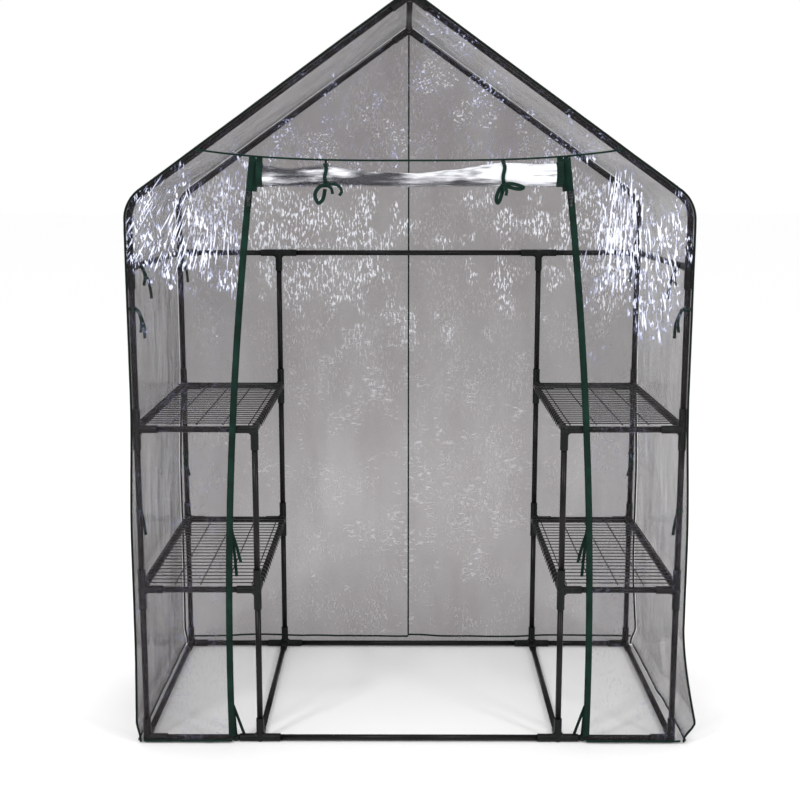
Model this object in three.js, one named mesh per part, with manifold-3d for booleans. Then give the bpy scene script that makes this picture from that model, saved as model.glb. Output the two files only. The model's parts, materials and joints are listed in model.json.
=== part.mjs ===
// Walk-in greenhouse: a push-fit frame of round steel tubes in plastic sleeves, four wire shelves in
// two bays beside an aisle, and a fitted clear film cover with a roll-up door between two zips.
// Millimetres. X runs across the front, Y runs from front to back, Z is up.

import * as THREE from 'three';
import { mergeVertices } from 'three/addons/utils/BufferGeometryUtils.js';
import Module from 'manifold-3d';

const wasm = await Module();
wasm.setup();

// Driving dimensions of the frame, between tube centres.
const FRAME_WIDTH = 1410;
const FRAME_DEPTH = 710;
const BAY_WIDTH = 304.5;
const LOWER_SHELF = 425;
const UPPER_SHELF = 856;
const EAVE_RAIL = 1272;
const EAVE_BEND = 1433;
const RIDGE = 1935;

// Tubes, the sleeves that join them, and the clearance between pieces that touch.
const TUBE_RADIUS = 8;
const TUBE_WALL = 1;
const SLEEVE_RADIUS = 10.5;
const SLEEVE_ARM = 55;
const INSERTION = 30;
const FOOT_FLOOR = 4;
const BEND_TANGENT = 42;
const APEX_OVERLAP = 4;
const CLEARANCE = 0.3;
const SIDES = 8;

// Wire shelves: a flat grid whose long edges hook down over the tubes that run from front to back.
const WIRE = 3;
const SHELF_END_GAP = 12;
const LIP_DROP = 18;
const SLOT_ROWS = 13;
const SLOT_COLUMNS = 2;

// Film cover: thickness, its stand-off from the tube centres, hem height, and the seam over the door.
const FILM = 1;
const FILM_OFFSET = 12;
const HEM = 4;
const SEAM = 1538;

// Each zip runs along a shallow arc from the seam to the hem, bowed outwards.
const ZIP_TOP_X = 391;
const ZIP_BOTTOM_X = 475;
const ZIP_BOTTOM = 20;
const ZIP_BOW = 27;
const TAPE_WIDTH = 14;
const TAPE_THICKNESS = 2;
const SLIDER_Z = 1452;

// The rolled door hangs from the seam, held by two ribbon ties.
const ROLL_LENGTH = 760;
const ROLL_HEIGHT = 64;
const ROLL_DEPTH = 50;
const TIE_X = 220;
const TIE_WIDTH = 12;
const TIE_THICKNESS = 1.2;
const TAIL_LENGTH = 40;

// How finely bends and zips are divided, and how far a cutting or joining piece runs past the face it meets.
const BEND_STEPS = 6;
const ZIP_STEPS = 8;
const OVERRUN = 1;

const SOCKET_RADIUS = TUBE_RADIUS + CLEARANCE;
const RAIL_INSET = SLEEVE_ARM - INSERTION;
const FLOOR = SLEEVE_RADIUS;
const POST_X = FRAME_WIDTH / 2;
const INNER_X = POST_X - BAY_WIDTH;
const POST_Y = FRAME_DEPTH / 2;
const FILM_X = POST_X + FILM_OFFSET;
const FILM_Y = POST_Y + FILM_OFFSET;
const PITCH = Math.atan2(RIDGE - EAVE_BEND, POST_X);
const TAPE_BACK_Y = -(FILM_Y + FILM + CLEARANCE);
const TAPE_FRONT_Y = TAPE_BACK_Y - TAPE_THICKNESS;
const ROLL_Y = TAPE_FRONT_Y;
const ROLL_Z = SEAM - CLEARANCE - ROLL_HEIGHT / 2 - 2 * TIE_THICKNESS;

// The origin is under the middle of the whole object, whose front-most piece is a tie on the rolled door.
const FRONT_REACH = -ROLL_Y + ROLL_DEPTH / 2 + CLEARANCE + TIE_THICKNESS;
const BACK_REACH = FILM_Y + FILM;

const greenhouse = new THREE.Group();
greenhouse.position.y = (FRONT_REACH - BACK_REACH) / 2;

const paintedSteel = new THREE.MeshStandardMaterial({ color: 0x17171a, roughness: 0.42, metalness: 0.6 });
const shelfWire = new THREE.MeshStandardMaterial({ color: 0x222226, roughness: 0.45, metalness: 0.5 });
const clearFilm = new THREE.MeshStandardMaterial({ color: 0xd4d2d6, roughness: 0.15, metalness: 0 });
const greenTape = new THREE.MeshStandardMaterial({ color: 0x0d3b2c, roughness: 0.8, metalness: 0 });
const zipMetal = new THREE.MeshStandardMaterial({ color: 0x2b2f2e, roughness: 0.35, metalness: 0.8 });

// ---- Solids

function toSolid(geometry) {
  const bare = geometry.index ? geometry.toNonIndexed() : geometry.clone();
  bare.deleteAttribute('normal');
  bare.deleteAttribute('uv');
  const merged = mergeVertices(bare, 1e-4);
  return new wasm.Manifold(new wasm.Mesh({
    numProp: 3,
    vertProperties: new Float32Array(merged.attributes.position.array),
    triVerts: new Uint32Array(merged.index.array),
  }));
}

function toGeometry(solid) {
  const mesh = solid.getMesh();
  const geometry = new THREE.BufferGeometry();
  geometry.setAttribute('position', new THREE.BufferAttribute(new Float32Array(mesh.vertProperties), 3));
  geometry.setIndex(new THREE.BufferAttribute(new Uint32Array(mesh.triVerts), 1));
  geometry.computeVertexNormals();
  return geometry;
}

function union(solids) {
  return solids.reduce((joined, next) => joined.add(next));
}

// A round bar between two points, along Y or in a plane of constant Y, with its facets lined up so
// that a bar of one radius fits evenly inside a socket of another.
function bar(radius, from, to) {
  const direction = to.clone().sub(from);
  const geometry = new THREE.CylinderGeometry(radius, radius, direction.length(), SIDES);
  geometry.rotateX(Math.PI / 2);
  if (Math.abs(direction.y) > Math.abs(direction.x) + Math.abs(direction.z)) {
    geometry.rotateX(Math.PI / 2);
  } else {
    geometry.rotateY(Math.atan2(direction.x, direction.z));
  }
  const middle = from.clone().add(to).multiplyScalar(0.5);
  geometry.translate(middle.x, middle.y, middle.z);
  return toSolid(geometry);
}

function box(low, high) {
  const size = high.clone().sub(low);
  const middle = low.clone().add(high).multiplyScalar(0.5);
  const geometry = new THREE.BoxGeometry(size.x, size.y, size.z);
  geometry.translate(middle.x, middle.y, middle.z);
  return toSolid(geometry);
}

function point(x, y, z) {
  return new THREE.Vector3(x, y, z);
}

function tube(from, to) {
  const beyond = to.clone().sub(from).setLength(1);
  const outside = bar(TUBE_RADIUS, from, to);
  const inside = bar(TUBE_RADIUS - TUBE_WALL, from.clone().sub(beyond), to.clone().add(beyond));
  return outside.subtract(inside);
}

function add(name, solid, material) {
  const mesh = new THREE.Mesh(toGeometry(solid), material);
  mesh.name = name;
  greenhouse.add(mesh);
}

// ---- Posts, each with the sleeves it passes through

const LEFT = point(-1, 0, 0);
const RIGHT = point(1, 0, 0);
const FRONT = point(0, -1, 0);
const BACK = point(0, 1, 0);

// joints: the height of each sleeve joint and the directions of its side arms. A post may end in
// an open socket above its top joint, which takes a rafter, or in a closed elbow.
function post(x, y, joints, endsInSocket) {
  const lastJoint = joints[joints.length - 1];
  const top = lastJoint.z + (endsInSocket ? SLEEVE_ARM : SLEEVE_RADIUS);
  const outside = [bar(TUBE_RADIUS, point(x, y, 0), point(x, y, top))];
  const boreTop = endsInSocket ? top + OVERRUN : lastJoint.z;
  const inside = [bar(TUBE_RADIUS - TUBE_WALL, point(x, y, FOOT_FLOOR), point(x, y, boreTop))];
  for (const { z, arms } of joints) {
    const centre = point(x, y, z);
    const low = Math.max(0, z - SLEEVE_ARM);
    const high = Math.min(top, z + SLEEVE_ARM);
    outside.push(bar(SLEEVE_RADIUS, point(x, y, low), point(x, y, high)));
    for (const arm of arms) {
      const mouth = centre.clone().addScaledVector(arm, SLEEVE_ARM);
      outside.push(bar(SLEEVE_RADIUS, centre, mouth));
      inside.push(bar(SOCKET_RADIUS, centre, mouth.addScaledVector(arm, 1)));
    }
  }
  if (endsInSocket) {
    const seat = top - INSERTION - CLEARANCE;
    inside.push(bar(SOCKET_RADIUS, point(x, y, seat), point(x, y, top + OVERRUN)));
  }
  return union(outside).subtract(union(inside));
}

function addPosts() {
  for (const [side, sign, outward, inward] of [['left', -1, LEFT, RIGHT], ['right', 1, RIGHT, LEFT]]) {
    for (const [end, y, into] of [['front', -POST_Y, BACK], ['back', POST_Y, FRONT]]) {
      const cornerEave = end === 'back' ? [inward, into] : [into];
      const corner = [
        { z: FLOOR, arms: [inward, into] },
        { z: LOWER_SHELF, arms: [inward, into] },
        { z: UPPER_SHELF, arms: [inward, into] },
        { z: EAVE_RAIL, arms: cornerEave },
      ];
      add(`post_${end}_${side}`, post(sign * POST_X, y, corner, true), paintedSteel);

      const inner = [
        { z: FLOOR, arms: [outward, inward, into] },
        { z: LOWER_SHELF, arms: [outward, into] },
        { z: UPPER_SHELF, arms: [outward, into] },
      ];
      if (end === 'back') {
        inner.push({ z: EAVE_RAIL, arms: [outward, inward] });
      }
      add(`inner_post_${end}_${side}`, post(sign * INNER_X, y, inner, false), paintedSteel);
    }
  }
}

// ---- Rails across the front and back, and bearers from front to back

function railAcross(name, fromX, toX, y, z) {
  add(name, tube(point(fromX + RAIL_INSET, y, z), point(toX - RAIL_INSET, y, z)), paintedSteel);
}

function railDeep(name, x, z) {
  add(name, tube(point(x, -POST_Y + RAIL_INSET, z), point(x, POST_Y - RAIL_INSET, z)), paintedSteel);
}

function addRails() {
  railAcross('floor_rail_front', -POST_X, POST_X, -POST_Y, FLOOR);
  railAcross('floor_rail_back', -POST_X, POST_X, POST_Y, FLOOR);
  railAcross('eave_rail_back', -POST_X, POST_X, POST_Y, EAVE_RAIL);
  for (const [side, sign] of [['left', -1], ['right', 1]]) {
    railDeep(`eave_rail_${side}`, sign * POST_X, EAVE_RAIL);
    railDeep(`floor_bearer_outer_${side}`, sign * POST_X, FLOOR);
    railDeep(`floor_bearer_inner_${side}`, sign * INNER_X, FLOOR);
    for (const [level, z] of [['lower', LOWER_SHELF], ['upper', UPPER_SHELF]]) {
      railDeep(`${level}_bearer_outer_${side}`, sign * POST_X, z);
      railDeep(`${level}_bearer_inner_${side}`, sign * INNER_X, z);
      const fromX = Math.min(sign * POST_X, sign * INNER_X);
      railAcross(`${level}_rail_front_${side}`, fromX, fromX + BAY_WIDTH, -POST_Y, z);
      railAcross(`${level}_rail_back_${side}`, fromX, fromX + BAY_WIDTH, POST_Y, z);
    }
  }
}

// ---- Roof frame: bent rafters, and a ridge bar with a three-way sleeve at each end

// The rafter's outline as a bar: a leg, a bend whose tangents meet at the eave, and the slope.
function rafterBar(radius, sign, y, overrun) {
  const eave = point(sign * POST_X, y, EAVE_BEND);
  const upSlope = point(-sign * Math.cos(PITCH), 0, Math.sin(PITCH));
  const legFoot = point(sign * POST_X, y, EAVE_RAIL + SLEEVE_ARM - INSERTION - overrun);
  const legTop = point(sign * POST_X, y, EAVE_BEND - BEND_TANGENT);
  const slopeFoot = eave.clone().addScaledVector(upSlope, BEND_TANGENT);
  const slopeLength = POST_X / Math.cos(PITCH) - RAIL_INSET + overrun;
  const slopeTop = eave.clone().addScaledVector(upSlope, slopeLength);
  const section = new THREE.Shape();
  for (let side = 0; side < SIDES; side += 1) {
    const angle = (side * 2 * Math.PI) / SIDES;
    const x = radius * Math.cos(angle);
    const z = radius * Math.sin(angle);
    if (side === 0) {
      section.moveTo(x, z);
    } else {
      section.lineTo(x, z);
    }
  }
  const bendPath = new THREE.QuadraticBezierCurve3(legTop, eave, slopeFoot);
  const bend = new THREE.ExtrudeGeometry(section, { steps: BEND_STEPS, extrudePath: bendPath });
  const overlap = 0.05;
  return union([
    bar(radius, legFoot, legTop.clone().add(point(0, 0, overlap))),
    toSolid(bend),
    bar(radius, slopeFoot.clone().addScaledVector(upSlope, -overlap), slopeTop),
  ]);
}

function addRoofFrame() {
  for (const [side, sign] of [['left', -1], ['right', 1]]) {
    for (const [end, y] of [['front', -POST_Y], ['back', POST_Y]]) {
      const outside = rafterBar(TUBE_RADIUS, sign, y, 0);
      const inside = rafterBar(TUBE_RADIUS - TUBE_WALL, sign, y, 1);
      add(`rafter_${end}_${side}`, outside.subtract(inside), paintedSteel);
    }
  }
  const outside = [bar(TUBE_RADIUS, point(0, -POST_Y, RIDGE), point(0, POST_Y, RIDGE))];
  const boreY = POST_Y + APEX_OVERLAP;
  const inside = [bar(TUBE_RADIUS - TUBE_WALL, point(0, -boreY, RIDGE), point(0, boreY, RIDGE))];
  for (const y of [-POST_Y, POST_Y]) {
    const apex = point(0, y, RIDGE);
    outside.push(bar(SLEEVE_RADIUS, apex, point(0, y - Math.sign(y) * SLEEVE_ARM, RIDGE)));
    for (const sign of [-1, 1]) {
      const downSlope = point(sign * Math.cos(PITCH), 0, -Math.sin(PITCH));
      const mouth = apex.clone().addScaledVector(downSlope, SLEEVE_ARM);
      const pastApex = apex.clone().addScaledVector(downSlope, -APEX_OVERLAP);
      outside.push(bar(SLEEVE_RADIUS, pastApex, mouth));
      inside.push(bar(SOCKET_RADIUS, apex, mouth.addScaledVector(downSlope, 1)));
    }
  }
  add('ridge_bar', union(outside).subtract(union(inside)), paintedSteel);
}

// ---- Wire shelves

function wireShelf(sign, level) {
  const middleX = (sign * (POST_X + INNER_X)) / 2;
  const halfWidth = BAY_WIDTH / 2 + TUBE_RADIUS + CLEARANCE + WIRE;
  const halfLength = POST_Y - SHELF_END_GAP;
  const lipHalfLength = POST_Y - SLEEVE_ARM - CLEARANCE;
  const underside = level + SLEEVE_RADIUS + CLEARANCE;
  const grid = box(
    point(middleX - halfWidth, -halfLength, underside),
    point(middleX + halfWidth, halfLength, underside + WIRE),
  );
  const lips = [-1, 1].map((edge) => {
    const outerX = middleX + edge * halfWidth;
    const innerX = outerX - edge * WIRE;
    return box(
      point(Math.min(outerX, innerX), -lipHalfLength, underside - LIP_DROP),
      point(Math.max(outerX, innerX), lipHalfLength, underside + WIRE),
    );
  });
  const slots = [];
  const clearWidth = BAY_WIDTH - 2 * TUBE_RADIUS;
  const columnPitch = clearWidth / SLOT_COLUMNS;
  const rowPitch = (2 * halfLength) / SLOT_ROWS;
  for (let column = 0; column < SLOT_COLUMNS; column += 1) {
    for (let row = 0; row < SLOT_ROWS; row += 1) {
      const x = middleX - clearWidth / 2 + column * columnPitch;
      const y = -halfLength + row * rowPitch;
      slots.push(box(
        point(x + WIRE, y + WIRE, underside - OVERRUN),
        point(x + columnPitch - WIRE, y + rowPitch - WIRE, underside + WIRE + OVERRUN),
      ));
    }
  }
  return union([grid, ...lips]).subtract(union(slots));
}

function addShelves() {
  for (const [side, sign] of [['left', -1], ['right', 1]]) {
    add(`lower_shelf_${side}`, wireShelf(sign, LOWER_SHELF), shelfWire);
    add(`upper_shelf_${side}`, wireShelf(sign, UPPER_SHELF), shelfWire);
  }
}

// ---- Film cover

// Height of the roof film's inner face, or of a parallel surface further in, at a distance from the middle.
function roofHeight(x, inwards = 0) {
  return RIDGE + (FILM_OFFSET - inwards) / Math.cos(PITCH) - Math.abs(x) * Math.tan(PITCH);
}

// A flat outline in X and Z becomes a sheet that starts at y and is as thick as given towards the front.
function upright(shape, y, thickness) {
  const geometry = new THREE.ExtrudeGeometry(shape, {
    depth: thickness,
    bevelEnabled: false,
  });
  geometry.rotateX(Math.PI / 2);
  geometry.translate(0, y, 0);
  return toSolid(geometry);
}

function outline(corners) {
  return new THREE.Shape(corners.map(([x, z]) => new THREE.Vector2(x, z)));
}

// The circle that the right-hand zip follows; the left one is its mirror image.
function zipCircle() {
  const top = new THREE.Vector2(ZIP_TOP_X, SEAM);
  const bottom = new THREE.Vector2(ZIP_BOTTOM_X, ZIP_BOTTOM);
  const halfChord = top.distanceTo(bottom) / 2;
  const radius = (halfChord ** 2 + ZIP_BOW ** 2) / (2 * ZIP_BOW);
  const down = bottom.clone().sub(top).normalize();
  const towardsDoor = new THREE.Vector2(down.y, -down.x);
  const centre = top.clone().add(bottom).multiplyScalar(0.5);
  centre.addScaledVector(towardsDoor, radius - ZIP_BOW);
  return { centre, radius };
}

function zipX(z, outwards = 0) {
  const { centre, radius } = zipCircle();
  return centre.x + Math.sqrt((radius + outwards) ** 2 - (z - centre.y) ** 2);
}

function zipEdge(fromZ, toZ, outwards) {
  const points = [];
  for (let step = 0; step <= ZIP_STEPS; step += 1) {
    const z = fromZ + ((toZ - fromZ) * step) / ZIP_STEPS;
    points.push([zipX(z, outwards), z]);
  }
  return points;
}

function mirrored(corners, sign) {
  return outline(corners.map(([x, z]) => [sign * x, z]));
}

function addCover() {
  const wallX = FILM_X - CLEARANCE;
  const roofEdge = FILM_X + FILM;
  const frontY = -FILM_Y;
  const flapTop = SEAM - CLEARANCE;
  const rafterXAt = (z) => (roofHeight(0, CLEARANCE) - z) / Math.tan(PITCH);
  const gableCorner = rafterXAt(SEAM);
  for (const [side, sign] of [['left', -1], ['right', 1]]) {
    const flap = [
      [rafterXAt(flapTop), flapTop],
      [wallX, roofHeight(wallX, CLEARANCE)],
      [wallX, HEM],
      ...zipEdge(HEM, flapTop, 0),
    ];
    add(`cover_front_${side}`, upright(mirrored(flap, sign), frontY, FILM), clearFilm);

    const wallTop = roofHeight(roofEdge, CLEARANCE);
    const wall = outline([
      [sign * FILM_X, HEM],
      [sign * roofEdge, HEM],
      [sign * roofEdge, wallTop],
      [sign * FILM_X, wallTop],
    ]);
    add(`cover_side_${side}`, upright(wall, BACK_REACH, 2 * BACK_REACH), clearFilm);

    const slope = outline([
      [sign * CLEARANCE, roofHeight(CLEARANCE)],
      [sign * roofEdge, roofHeight(roofEdge)],
      [sign * roofEdge, roofHeight(roofEdge, -FILM)],
      [sign * CLEARANCE, roofHeight(CLEARANCE, -FILM)],
    ]);
    add(`cover_roof_${side}`, upright(slope, BACK_REACH, 2 * BACK_REACH), clearFilm);
  }
  const gable = outline([
    [-gableCorner, SEAM],
    [gableCorner, SEAM],
    [0, roofHeight(0, CLEARANCE)],
  ]);
  add('cover_gable_front', upright(gable, frontY, FILM), clearFilm);

  const back = outline([
    [-wallX, HEM],
    [wallX, HEM],
    [wallX, roofHeight(wallX, CLEARANCE)],
    [0, roofHeight(0, CLEARANCE)],
    [-wallX, roofHeight(wallX, CLEARANCE)],
  ]);
  add('cover_back', upright(back, BACK_REACH, FILM), clearFilm);
}

// ---- Zips: a tape along the arc, and a slider whose pull hangs between two ears

function addZips() {
  const sliderPlate = { halfWidth: 6, halfHeight: 12, thickness: 3 };
  const ear = { inner: 3.2, outer: 5, halfHeight: 4, reach: 6 };
  const pin = { radius: 1, boreRadius: 1.4 };
  const pull = { halfWidth: 2.8, thickness: 2, length: 34 };
  const plateBack = TAPE_FRONT_Y - CLEARANCE;
  const plateFront = plateBack - sliderPlate.thickness;
  const earZ = SLIDER_Z + sliderPlate.halfHeight - ear.halfHeight;
  const pinY = plateFront - ear.reach / 2 - CLEARANCE;

  for (const [side, sign] of [['left', -1], ['right', 1]]) {
    const tapeTop = SEAM - CLEARANCE;
    const tape = [
      ...zipEdge(ZIP_BOTTOM, tapeTop, TAPE_WIDTH / 2),
      ...zipEdge(tapeTop, ZIP_BOTTOM, -TAPE_WIDTH / 2),
    ];
    const tapeSolid = upright(mirrored(tape, sign), TAPE_BACK_Y, TAPE_THICKNESS);
    add(`zip_tape_${side}`, tapeSolid, greenTape);

    const x = sign * zipX(SLIDER_Z);
    const plate = box(
      point(x - sliderPlate.halfWidth, plateFront, SLIDER_Z - sliderPlate.halfHeight),
      point(x + sliderPlate.halfWidth, plateBack, SLIDER_Z + sliderPlate.halfHeight),
    );
    const ears = [-1, 1].map((edge) => box(
      point(x + Math.min(edge * ear.inner, edge * ear.outer), plateFront - ear.reach, earZ - ear.halfHeight),
      point(x + Math.max(edge * ear.inner, edge * ear.outer), plateFront + OVERRUN, earZ + ear.halfHeight),
    ));
    const boreReach = ear.outer + OVERRUN;
    const bore = bar(pin.boreRadius, point(x - boreReach, pinY, earZ), point(x + boreReach, pinY, earZ));
    add(`zip_slider_${side}`, union([plate, ...ears]).subtract(bore), zipMetal);

    const tab = box(
      point(x - pull.halfWidth, pinY - pull.thickness / 2, earZ - pull.length),
      point(x + pull.halfWidth, pinY + pull.thickness / 2, earZ + pull.thickness),
    );
    const trunnion = bar(pin.radius, point(x - ear.outer, pinY, earZ), point(x + ear.outer, pinY, earZ));
    add(`zip_pull_${side}`, tab.add(trunnion), zipMetal);
  }
}

// ---- Rolled door and its ties

// A closed oval band or bar along X, centred on the roll.
function ovalBar(length, clearance) {
  const oval = new THREE.CylinderGeometry(1, 1, length, SIDES * 2);
  oval.rotateZ(Math.PI / 2);
  oval.scale(1, ROLL_DEPTH / 2 + clearance, ROLL_HEIGHT / 2 + clearance);
  oval.translate(0, ROLL_Y, ROLL_Z);
  return toSolid(oval);
}

function addDoor() {
  add('door_roll', ovalBar(ROLL_LENGTH, 0), clearFilm);
  for (const [side, sign] of [['left', -1], ['right', 1]]) {
    const core = ovalBar(TIE_WIDTH + 2 * OVERRUN, CLEARANCE);
    const loop = ovalBar(TIE_WIDTH, CLEARANCE + TIE_THICKNESS).subtract(core);
    const loopBottom = ROLL_Z - ROLL_HEIGHT / 2 - CLEARANCE - TIE_THICKNESS;
    const tail = box(
      point(-TIE_WIDTH / 2, ROLL_Y - TIE_THICKNESS / 2, loopBottom - TAIL_LENGTH),
      point(TIE_WIDTH / 2, ROLL_Y + TIE_THICKNESS / 2, loopBottom + TIE_THICKNESS / 2),
    );
    add(`door_tie_${side}`, loop.add(tail).translate([sign * TIE_X, 0, 0]), greenTape);
  }
}

addPosts();
addRails();
addRoofFrame();
addShelves();
addCover();
addZips();
addDoor();

export default greenhouse;
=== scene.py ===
"""Looks of the walk-in film greenhouse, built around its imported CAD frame. Metres, Z up, door facing -Y."""

import json
import math

import bpy
import numpy as np
from mathutils import Euler, Matrix, Vector


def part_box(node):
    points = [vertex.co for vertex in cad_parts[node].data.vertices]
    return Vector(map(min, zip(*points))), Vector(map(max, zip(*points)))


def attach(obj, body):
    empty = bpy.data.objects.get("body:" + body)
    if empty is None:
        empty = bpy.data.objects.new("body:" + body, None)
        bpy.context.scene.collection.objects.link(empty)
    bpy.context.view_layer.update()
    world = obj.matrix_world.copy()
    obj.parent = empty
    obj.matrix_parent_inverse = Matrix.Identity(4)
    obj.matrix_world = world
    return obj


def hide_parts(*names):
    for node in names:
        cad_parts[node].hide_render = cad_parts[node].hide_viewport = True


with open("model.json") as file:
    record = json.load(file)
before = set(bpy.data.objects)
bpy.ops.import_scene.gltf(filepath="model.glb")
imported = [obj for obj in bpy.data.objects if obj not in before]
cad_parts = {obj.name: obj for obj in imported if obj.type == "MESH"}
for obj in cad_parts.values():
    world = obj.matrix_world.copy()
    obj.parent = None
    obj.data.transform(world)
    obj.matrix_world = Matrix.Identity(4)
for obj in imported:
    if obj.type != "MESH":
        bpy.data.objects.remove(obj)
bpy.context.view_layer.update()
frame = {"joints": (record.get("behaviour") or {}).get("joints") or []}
ROOT = "frame_and_cover"


# ---------------- sizes worked out from the frame

def centre(node):
    low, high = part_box(node)
    return (low + high) / 2


def joint_position(name):
    return next(Vector(j["pos_m"]) for j in frame["joints"] if j["name"] == name)


X = Vector((1, 0, 0))
Y = Vector((0, 1, 0))
Z = Vector((0, 0, 1))
MM = 0.001
TUBE_R = (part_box("floor_rail_front")[1].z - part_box("floor_rail_front")[0].z) / 2
SLEEVE_R = centre("floor_rail_front").z
POST_X = centre("eave_rail_right").x
INNER_X = centre("floor_bearer_inner_right").x
FRONT_Y = centre("floor_rail_front").y
BACK_Y = centre("floor_rail_back").y
FLOOR_Z = SLEEVE_R
SHELF_Z = {level: centre(f"{level}_bearer_outer_left").z for level in ("lower", "upper")}
EAVE_Z = centre("eave_rail_right").z
RIDGE_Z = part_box("ridge_bar")[1].z - SLEEVE_R
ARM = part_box("post_front_right")[1].z - EAVE_Z
TUBE_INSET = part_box("floor_rail_front")[0].x + POST_X

# The sign of x on each side, the y of each end with its step into the greenhouse, and each level's height.
SIDES = {"left": -1, "right": 1}
ENDS = {"front": (FRONT_Y, 1), "back": (BACK_Y, -1)}
LEVEL_Z = {"floor": FLOOR_Z, **SHELF_Z, "eave": EAVE_Z}

FRONT_FILM_Y = centre("cover_gable_front").y
BACK_FILM_Y = centre("cover_back").y
END_PANELS = {"front": (FRONT_FILM_Y, -1), "back": (BACK_FILM_Y, 1)}
FILM_X = centre("cover_side_right").x
FILM_GAP = FILM_X - POST_X
HEM_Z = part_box("cover_back")[0].z
SEAM_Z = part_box("cover_gable_front")[0].z
GABLE_LOW, GABLE_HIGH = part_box("cover_gable_front")
PITCH = math.atan2(GABLE_HIGH.z - GABLE_LOW.z, GABLE_HIGH.x)
BEND_Z = RIDGE_Z - POST_X * math.tan(PITCH)
BEND_TANGENT = 42 * MM  # from the corner of eave and slope to where the tube starts to bend
BEND_R = BEND_TANGENT / math.tan((math.pi / 2 - PITCH) / 2)

ZIP_CENTRE = joint_position("zip_slider_right_travel")
ZIP_SLIDER = centre("zip_slider_right")
ZIP_R = math.hypot(ZIP_SLIDER.x - ZIP_CENTRE.x, ZIP_SLIDER.z - ZIP_CENTRE.z)


def zip_x(z):
    """Distance of the zip line from the middle of the door, at a height."""
    return ZIP_CENTRE.x + np.sqrt(ZIP_R ** 2 - (z - ZIP_CENTRE.z) ** 2)


# ---------------- camera and light

CAMERA_PLACE = (-0.013, -3.535, 1.479)
LOOKS_DOWN = math.radians(9.7)
LOOKS_LEFT = math.radians(0.2)
FOCAL_LENGTH = 56.7
FILM_GATE = 36.0

# Where each light stands and aims, its width and height, and its power in watts.
LIGHTS = {
    "key": ((-2.4, -3.2, 3.6), (0, 0, 1.0), (0.6, 0.6), 60),
    "fill": ((2.6, -2.8, 2.6), (0.2, 0, 1.0), (0.5, 0.8), 38),
    "back": ((0.3, 3.4, 3.8), (0, 0, 1.0), (1.2, 0.5), 30),
}
HORIZON_LIGHT = 0.45
OVERHEAD_LIGHT = 1.28
WHITE = (1, 1, 1, 1)


def show(thing):
    bpy.context.scene.collection.objects.link(thing)
    return thing


def make_camera():
    data = bpy.data.cameras.new("camera")
    data.lens = FOCAL_LENGTH
    data.sensor_width = FILM_GATE
    camera = show(bpy.data.objects.new("camera", data))
    camera.location = CAMERA_PLACE
    camera.rotation_euler = Euler((math.pi / 2 - LOOKS_DOWN, 0, LOOKS_LEFT))
    bpy.context.scene.camera = camera


def make_lights():
    for name, (place, target, size, power) in LIGHTS.items():
        data = bpy.data.lights.new(name, "AREA")
        data.shape = "RECTANGLE"
        data.size, data.size_y = size
        data.energy = power
        light = show(bpy.data.objects.new(name, data))
        light.location = place
        light.rotation_euler = (Vector(target) - Vector(place)).to_track_quat("-Z", "Y").to_euler()


def make_world():
    """White behind everything. As light, a soft dome that is brighter overhead than at the horizon."""
    world = bpy.data.worlds.new("studio")
    world.use_nodes = True
    tree = world.node_tree
    dome = tree.nodes["Background"]
    dome.inputs["Color"].default_value = WHITE
    split = add_node(tree, "ShaderNodeSeparateXYZ")
    place = add_node(tree, "ShaderNodeTexCoord")
    tree.links.new(place.outputs["Generated"], split.inputs["Vector"])
    strength = Field(tree, split.outputs["Z"]).mapped(0, 1, HORIZON_LIGHT, OVERHEAD_LIGHT)
    tree.links.new(strength.socket, dome.inputs["Strength"])
    backdrop = add_node(tree, "ShaderNodeBackground", Color=WHITE, Strength=1.0)
    rays = add_node(tree, "ShaderNodeLightPath")
    choose = add_node(tree, "ShaderNodeMixShader")
    tree.links.new(rays.outputs["Is Camera Ray"], choose.inputs["Fac"])
    tree.links.new(dome.outputs["Background"], choose.inputs[1])
    tree.links.new(backdrop.outputs["Background"], choose.inputs[2])
    tree.links.new(choose.outputs["Shader"], tree.nodes["World Output"].inputs["Surface"])
    bpy.context.scene.world = world
    bpy.context.scene.view_settings.view_transform = "Standard"


def make_stage():
    bpy.ops.mesh.primitive_plane_add(size=120, location=(0, 0, 0))
    floor = bpy.context.object
    floor.name = "studio_floor"
    look = Look("studio_floor")
    look.set("Base Color", WHITE)
    look.set("Roughness", 1.0)
    floor.data.materials.append(look.material)


# ---------------- materials: how they are put together

def add_node(tree, kind, **values):
    node = tree.nodes.new(kind)
    for key, value in values.items():
        if key in node.inputs:
            node.inputs[key].default_value = value
        else:
            setattr(node, key, value)
    return node


class Field:
    """A value that varies over a surface. Arithmetic with it adds the nodes that work the result out."""

    def __init__(self, tree, socket):
        self.tree = tree
        self.socket = socket

    def __add__(self, other):
        return maths("ADD", self, other)

    def __sub__(self, other):
        return maths("SUBTRACT", self, other)

    def __rsub__(self, other):
        return maths("SUBTRACT", other, self)

    def __mul__(self, other):
        return maths("MULTIPLY", self, other)

    def mapped(self, low, high, to_low, to_high):
        """to_low up to one value, to_high from another, and a straight line between them."""
        node = add_node(self.tree, "ShaderNodeMapRange")
        for name, value in (("From Min", low), ("From Max", high), ("To Min", to_low), ("To Max", to_high)):
            node.inputs[name].default_value = value
        self.tree.links.new(self.socket, node.inputs["Value"])
        return Field(self.tree, node.outputs["Result"])

    def ramp(self, low, colour_low, high, colour_high):
        """The low colour up to one value, the high colour from another, and a blend between them."""
        node = add_node(self.tree, "ShaderNodeValToRGB")
        for stop, position, colour in zip(node.color_ramp.elements, (low, high), (colour_low, colour_high)):
            stop.position = position
            stop.color = (*colour, 1)
        self.tree.links.new(self.socket, node.inputs["Fac"])
        return Field(self.tree, node.outputs["Color"])


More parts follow.
